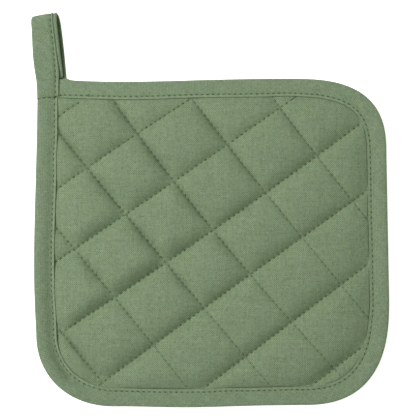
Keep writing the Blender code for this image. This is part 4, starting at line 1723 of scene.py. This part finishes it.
            out = out * (1 - dip / (inside + BUILD.tape_wall))
            ring = self.spots_at(i, across, out)
            ring[:, 1] += lean
            rings.append(ring)
            beside = across - (width - inset)
            hidden = (soft == 0) & (np.abs(out) < inside + 0.8)
            beside[(np.abs(beside) > 2) | hidden] = FAR_ASIDE
            along = np.full(len(across), along)
            seams.append(np.stack((along, beside, np.full(len(across), 1 / MM)), 1))
            steps = np.hypot(np.diff(across), np.diff(out))
            girth = np.concatenate(((0.0,), np.cumsum(steps)))
            places.append(np.stack((along, girth, 0 * girth), 1))
        return np.array(rings), np.array(seams), np.array(places)

    def make(self, cloth: bpy.types.Material) -> bpy.types.Object:
        """Builds and dresses the loop.

        Args:
            cloth: The loop tape's material.

        Returns:
            The finished piece.
        """
        rings, seams, places = self.rings()
        spots = rings.reshape(-1, 3)
        spots[:, 2] = np.maximum(spots[:, 2], 0.02)
        mesh = new_mesh("loop_of_tape", spots, swept(rings),
                        seam_place=seams.reshape(-1, 3) * MM,
                        tape_place=places.reshape(-1, 3) * MM,
                        cross_place=beside_cross_seam(spots[:, :2]))
        mesh.materials.append(cloth)
        piece = new_object("loop_of_tape", mesh)
        finish_piece(piece, "hanging_loop")
        return piece


# ================================================================ stitches
def stitch_tree() -> bpy.types.NodeTree:
    """Lays a short arched thread at each point, along its `run` and facing its `lift`.

    Returns:
        The geometry tree.
    """
    bench, given, out = new_group(
        "laid_stitches", "GeometryNodeTree",
        {"Geometry": "Geometry", "Thread Radius": 0.0002, "Arch": 0.00025, "Thinning": 0.45,
         "Slack": 0.08, "Seed": 1, "Thread": "Material"},
        {"Geometry": "Geometry"})
    foot = given["Arch"] * -1.0
    arc = bench.add("GeometryNodeCurveQuadraticBezier", {
        "Resolution": 5, "Start": bench.point(-0.5, 0.0, foot),
        "Middle": bench.point(z=given["Arch"]), "End": bench.point(0.5, 0.0, foot)})
    off = bench.add("GeometryNodeSplineParameter")["Factor"] * 2.0 - 1.0
    thick = 1.0 - bench.math("POWER", off, 4.0) * given["Thinning"]
    tapered = bench.add("GeometryNodeSetCurveRadius", {"Curve": arc, "Radius": thick})
    circle = bench.add("GeometryNodeCurvePrimitiveCircle", {
        "Resolution": 6, "Radius": given["Thread Radius"]})
    thread = bench.add("GeometryNodeCurveToMesh", {
        "Curve": tapered, "Profile Curve": circle, "Scale": thick, "Fill Caps": True})

    run = bench.kept("run", "FLOAT_VECTOR")
    turn = bench.add("FunctionNodeAxesToRotation", {
        "Primary Axis": run, "Secondary Axis": bench.kept("lift", "FLOAT_VECTOR")},
        primary_axis="X", secondary_axis="Z")
    slack = bench.add("FunctionNodeRandomValue", {
        2: 1.0 - given["Slack"], 3: given["Slack"] + 1.0, "Seed": given["Seed"]},
        data_type="FLOAT")[1]
    laid = bench.add("GeometryNodeInstanceOnPoints", {
        "Points": given["Geometry"], "Instance": thread, "Rotation": turn,
        "Scale": bench.point(bench.vector("LENGTH", run), slack, slack)})
    bench.dress(laid, given["Thread"], out)
    return bench.tree


@dataclass
class Stitching:
    """Rows of lockstitches, laid between needle holes."""

    thread_radius: float = 0.20
    arch: float = 0.22
    shown: float = 0.60          # the share of the pitch that shows between two holes
    slack: float = 0.12          # how much one stitch differs from the next
    lanes: list[np.ndarray] = field(default_factory=list)

    def add_row(self, holes: np.ndarray, lift: np.ndarray, above: np.ndarray | float = 0.0) -> None:
        """Adds a row of stitches.

        Args:
            holes: The needle holes in order, as points on the cloth.
            lift: The way the cloth faces there.
            above: How far above the line between two holes each thread passes.
        """
        run = holes[1:] - holes[:-1]
        facing = np.broadcast_to(lift, holes.shape)
        facing = (facing[1:] + facing[:-1]) / 2
        middle = (holes[1:] + holes[:-1]) / 2 + facing * np.reshape(above, (-1, 1))
        self.lanes.append(np.concatenate((middle, run * self.shown, facing), 1))

    def make(self, name: str, slot: str, tree: bpy.types.NodeTree, thread: bpy.types.Material,
             seed: int) -> bpy.types.Object:
        """Lays every row that was added as one piece.

        Args:
            name: The piece's name.
            slot: The name of the cloth that the stitches sew into; not used.
            tree: The stitches' geometry tree.
            thread: The thread's material.
            seed: What makes its slack its own.

        Returns:
            The finished piece.
        """
        rows = np.concatenate(self.lanes)
        mesh = new_mesh(name, rows[:, :3], [], run=rows[:, 3:6] * MM, lift=rows[:, 6:])
        piece = grown(new_object("stitch_points", mesh), tree, name,
                      Thread_Radius=self.thread_radius * MM, Arch=self.arch * MM,
                      Slack=self.slack, Seed=seed, Thread=thread)
        finish_piece(piece)
        return piece


class Sewing:
    """Finds where every row of stitches runs on the finished pieces."""

    holes_apart = 4              # stations, or sections of the loop, from one hole to the next
    proud = 0.06                 # how far a row along the tape stands clear of the cloth

    def __init__(self, pad: QuiltedPad, tape: EdgeBinding, loop: HangingLoop) -> None:
        """Keeps the pieces that are sewn.

        Args:
            pad: The quilted pad.
            tape: The taped edge.
            loop: The hanging loop.
        """
        self.pad = pad
        self.tape = tape
        self.loop = loop

    def quilting(self, face: Face) -> Stitching:
        """The quilting stitches of one face.

        Args:
            face: Which face.

        Returns:
            The stitches.
        """
        stitching = Stitching(arch=0.34)
        past_fold, lowest, clear = 0.6, 0.4, 0.05
        for seam in self.pad.seams:
            shares = np.arange(0, seam.length, BUILD.stitch_pitch) / seam.length
            spots = seam.points(shares)
            inside = self.pad.fold_distance(spots)
            shown = inside > -past_fold
            spots, inside = spots[shown], inside[shown]
            if len(spots) < 2:
                continue
            level = np.zeros(len(spots))
            height = np.maximum(self.pad.surface(spots, inside, level, face), lowest)
            pull = seam.pull_at(np.linspace(0, 1, len(spots)))
            above = self.pad.bridge_height * (pull[1:] + pull[:-1]) / 2 + clear
            stitching.add_row(np.column_stack((spots, height)), np.array((0.0, 0.0, face.value)),
                              above)
        return stitching

    def tape_row(self, face: Face) -> Stitching:
        """The stitches along the taped edge, on one face.

        Args:
            face: Which face.

        Returns:
            The stitches.
        """
        stitching = Stitching(arch=0.20)
        rows = self.tape.stations
        spots = rows.inset(rows.widths - BUILD.stitch_inset)[::self.holes_apart]
        out = BUILD.tape_top - self.tape.valley_depth + self.proud
        height = np.full(len(spots), BUILD.mid_plane + face.value * out)
        stitching.add_row(np.column_stack((spots, height)), np.array((0.0, 0.0, face.value)))
        return stitching

    def loop_rows(self) -> Stitching:
        """The stitches up the loop and back, and those of the cross seam below it.

        Returns:
            The stitches.
        """
        stitching = Stitching(arch=0.16)
        loop = self.loop
        for side in (1.0, -1.0):
            holes, facing = [], []
            for i in range(0, len(loop.rows), self.holes_apart):
                _, _, _, width, _, _, spread, inset = loop.rows[i]
                out = side * (spread / 2 + BUILD.tape_wall - loop.valley_depth + self.proud)
                holes.append(loop.spots_at(i, width - inset, out))
                facing.append((0.0, *side * loop.outward_at(i)))
            stitching.add_row(np.array(holes), np.array(facing))
        first, last = PATTERN.cross_seam_x
        for face in Face:
            x = np.arange(first, last, BUILD.stitch_pitch)
            y = PATTERN.cross_seam_y + cross_seam_lean(x)
            out = BUILD.tape_top - self.tape.seam_dip + 0.1
            z = BUILD.mid_plane + face.value * out
            z = z + curl(x - PATTERN.sides[-1].end[0], BUILD.loop_stitches, loop_brow(0.0))
            stitching.add_row(np.column_stack((x, y, z)), np.array((0.0, 0.0, face.value)))
        return stitching


# ================================================================ studio
@dataclass(frozen=True)
class Studio:
    """A bright white table, soft light from the upper left and a camera straight above."""

    view_width: float = 260.4        # what the picture takes in, across
    aim: Point = (-0.06, 0.20)       # the middle of the picture, on the pattern
    aim_height: float = 5.5
    camera_distance: float = 1600.0
    key_azimuth: float = 156.0
    key_elevation: float = 64.0
    key_distance: float = 1350.0
    key_size: float = 800.0
    key_power: float = 21.45
    fill_strength: float = 0.175
    fill_colour: Colour = (0.78, 1.0, 0.62)
    floor_glow: float = 0.82

    def make(self) -> None:
        """Sets out the floor, the lights and the camera."""
        self.add_floor()
        self.add_key()
        self.add_world()
        self.add_camera()
        bpy.context.scene.view_settings.view_transform = "Standard"

    def add_floor(self) -> None:
        """Adds the table top, part of the setting and not of the object."""
        reach = 4000.0
        corners = [(-reach, -reach, 0), (reach, -reach, 0), (reach, reach, 0), (-reach, reach, 0)]
        mesh = new_mesh("table_top", np.array(corners) - (0, 0, 0.05), [(0, 1, 2, 3)])
        material, bench, shader = new_finish("white_table")
        grain = bench.add("ShaderNodeTexNoise", {
            "Vector": bench.add("ShaderNodeTexCoord")["Object"], "Scale": 6.0})
        bench.fill(shader, {
            "Base Color": bench.mix(grain, (0.93, 0.93, 0.93), (0.95, 0.95, 0.95)),
            "Roughness": 0.95, "Emission Color": (1.0, 1.0, 1.0, 1.0),
            "Emission Strength": self.floor_glow})
        mesh.materials.append(material)
        new_object("table_top", mesh)

    def add_key(self) -> None:
        """Adds the soft key light."""
        light = bpy.data.lights.new("key_light", "AREA")
        light.shape = "SQUARE"
        light.size = self.key_size * MM
        light.energy = self.key_power
        turn, rise = math.radians(self.key_azimuth), math.radians(self.key_elevation)
        toward = Vector((math.cos(turn) * math.cos(rise), math.sin(turn) * math.cos(rise),
                         math.sin(rise)))
        lamp = new_object("key_light", light)
        lamp.location = toward * self.key_distance * MM
        lamp.rotation_euler = (-toward).to_track_quat("-Z", "Y").to_euler()

    def add_world(self) -> None:
        """Adds even light from all round, which the camera sees as white."""
        world = bpy.data.worlds.new("white_room")
        world.use_nodes = True
        bench = Bench(world.node_tree)
        seen = bench.add("ShaderNodeLightPath")["Is Camera Ray"]
        strength = bench.add("ShaderNodeMapRange", {
            "Value": seen, "To Min": self.fill_strength, "To Max": 1.0})
        bench.fill(world.node_tree.nodes["Background"], {
            "Color": bench.mix(seen, self.fill_colour, (1.0, 1.0, 1.0)), "Strength": strength})
        bpy.context.scene.world = world

    def add_camera(self) -> None:
        """Adds the camera, straight above the pot holder with +Y up the picture."""
        data = bpy.data.cameras.new("photo_camera")
        data.sensor_width = 36.0
        data.lens = data.sensor_width * self.camera_distance / self.view_width
        data.clip_start, data.clip_end = 0.05, 20.0
        camera = new_object("photo_camera", data)
        x, y = np.add(self.aim, PLACE)
        camera.location = (x * MM, y * MM, (self.aim_height + self.camera_distance) * MM)
        bpy.context.scene.camera = camera


# ================================================================ the pot holder
FACE_CLOTH = Cloth("face_cloth", (0.278, 0.351, 0.230), (0.211, 0.279, 0.168), Grain.STRAIGHT,
                   slot_half_length=0.80, slot_half_width=0.36, slot_shade=0.80, slot_uneven=0.5,
                   lip_gain=0.0, flecks=(Fleck(91.8, 29.0, 0.85, (0.120, 0.155, 0.100)),
                                         Fleck(24.2, -43.5, 0.70, (0.310, 0.395, 0.260))))
EDGE_TAPE = Cloth("edge_tape", (0.276, 0.351, 0.238), (0.215, 0.279, 0.178), Grain.BIAS,
                  "tape_place", flecks=(Fleck(-75.1, 71.1, 1.10, (0.040, 0.040, 0.043)),))
LOOP_TAPE = Cloth("loop_tape", (0.264, 0.336, 0.229), (0.206, 0.270, 0.171), Grain.BIAS,
                  "tape_place")


def main() -> None:
    """Builds the pot holder's pieces in order, and its setting."""
    logging.basicConfig(level=logging.INFO, format="%(name)s %(message)s")
    weave, sewn = woven_group(), sewn_group()
    pad, tape, loop = QuiltedPad(), EdgeBinding(), HangingLoop()
    pad.make(FACE_CLOTH.material(weave, sewn))
    binding = tape.make(EDGE_TAPE.material(weave, sewn))
    hanger = loop.make(LOOP_TAPE.material(weave, sewn))
    length = tape.stations.along[-1] * MM
    loop.along[-1] * MM
    thread = SewingThread().material()
    stitches = stitch_tree()
    sewing = Sewing(pad, tape, loop)
    for number, face in enumerate(Face):
        side = face.name.lower()
        sewing.quilting(face).make(f"quilting_stitches_{side}", "face_cloth", stitches, thread,
                                   11 + number)
        sewing.tape_row(face).make(f"tape_stitches_{side}", "edge_tape", stitches, thread,
                                   21 + number)
    sewing.loop_rows().make("loop_stitches", "loop_tape", stitches, thread, 31)
    Studio().make()


if __name__ == "__main__":
    main()
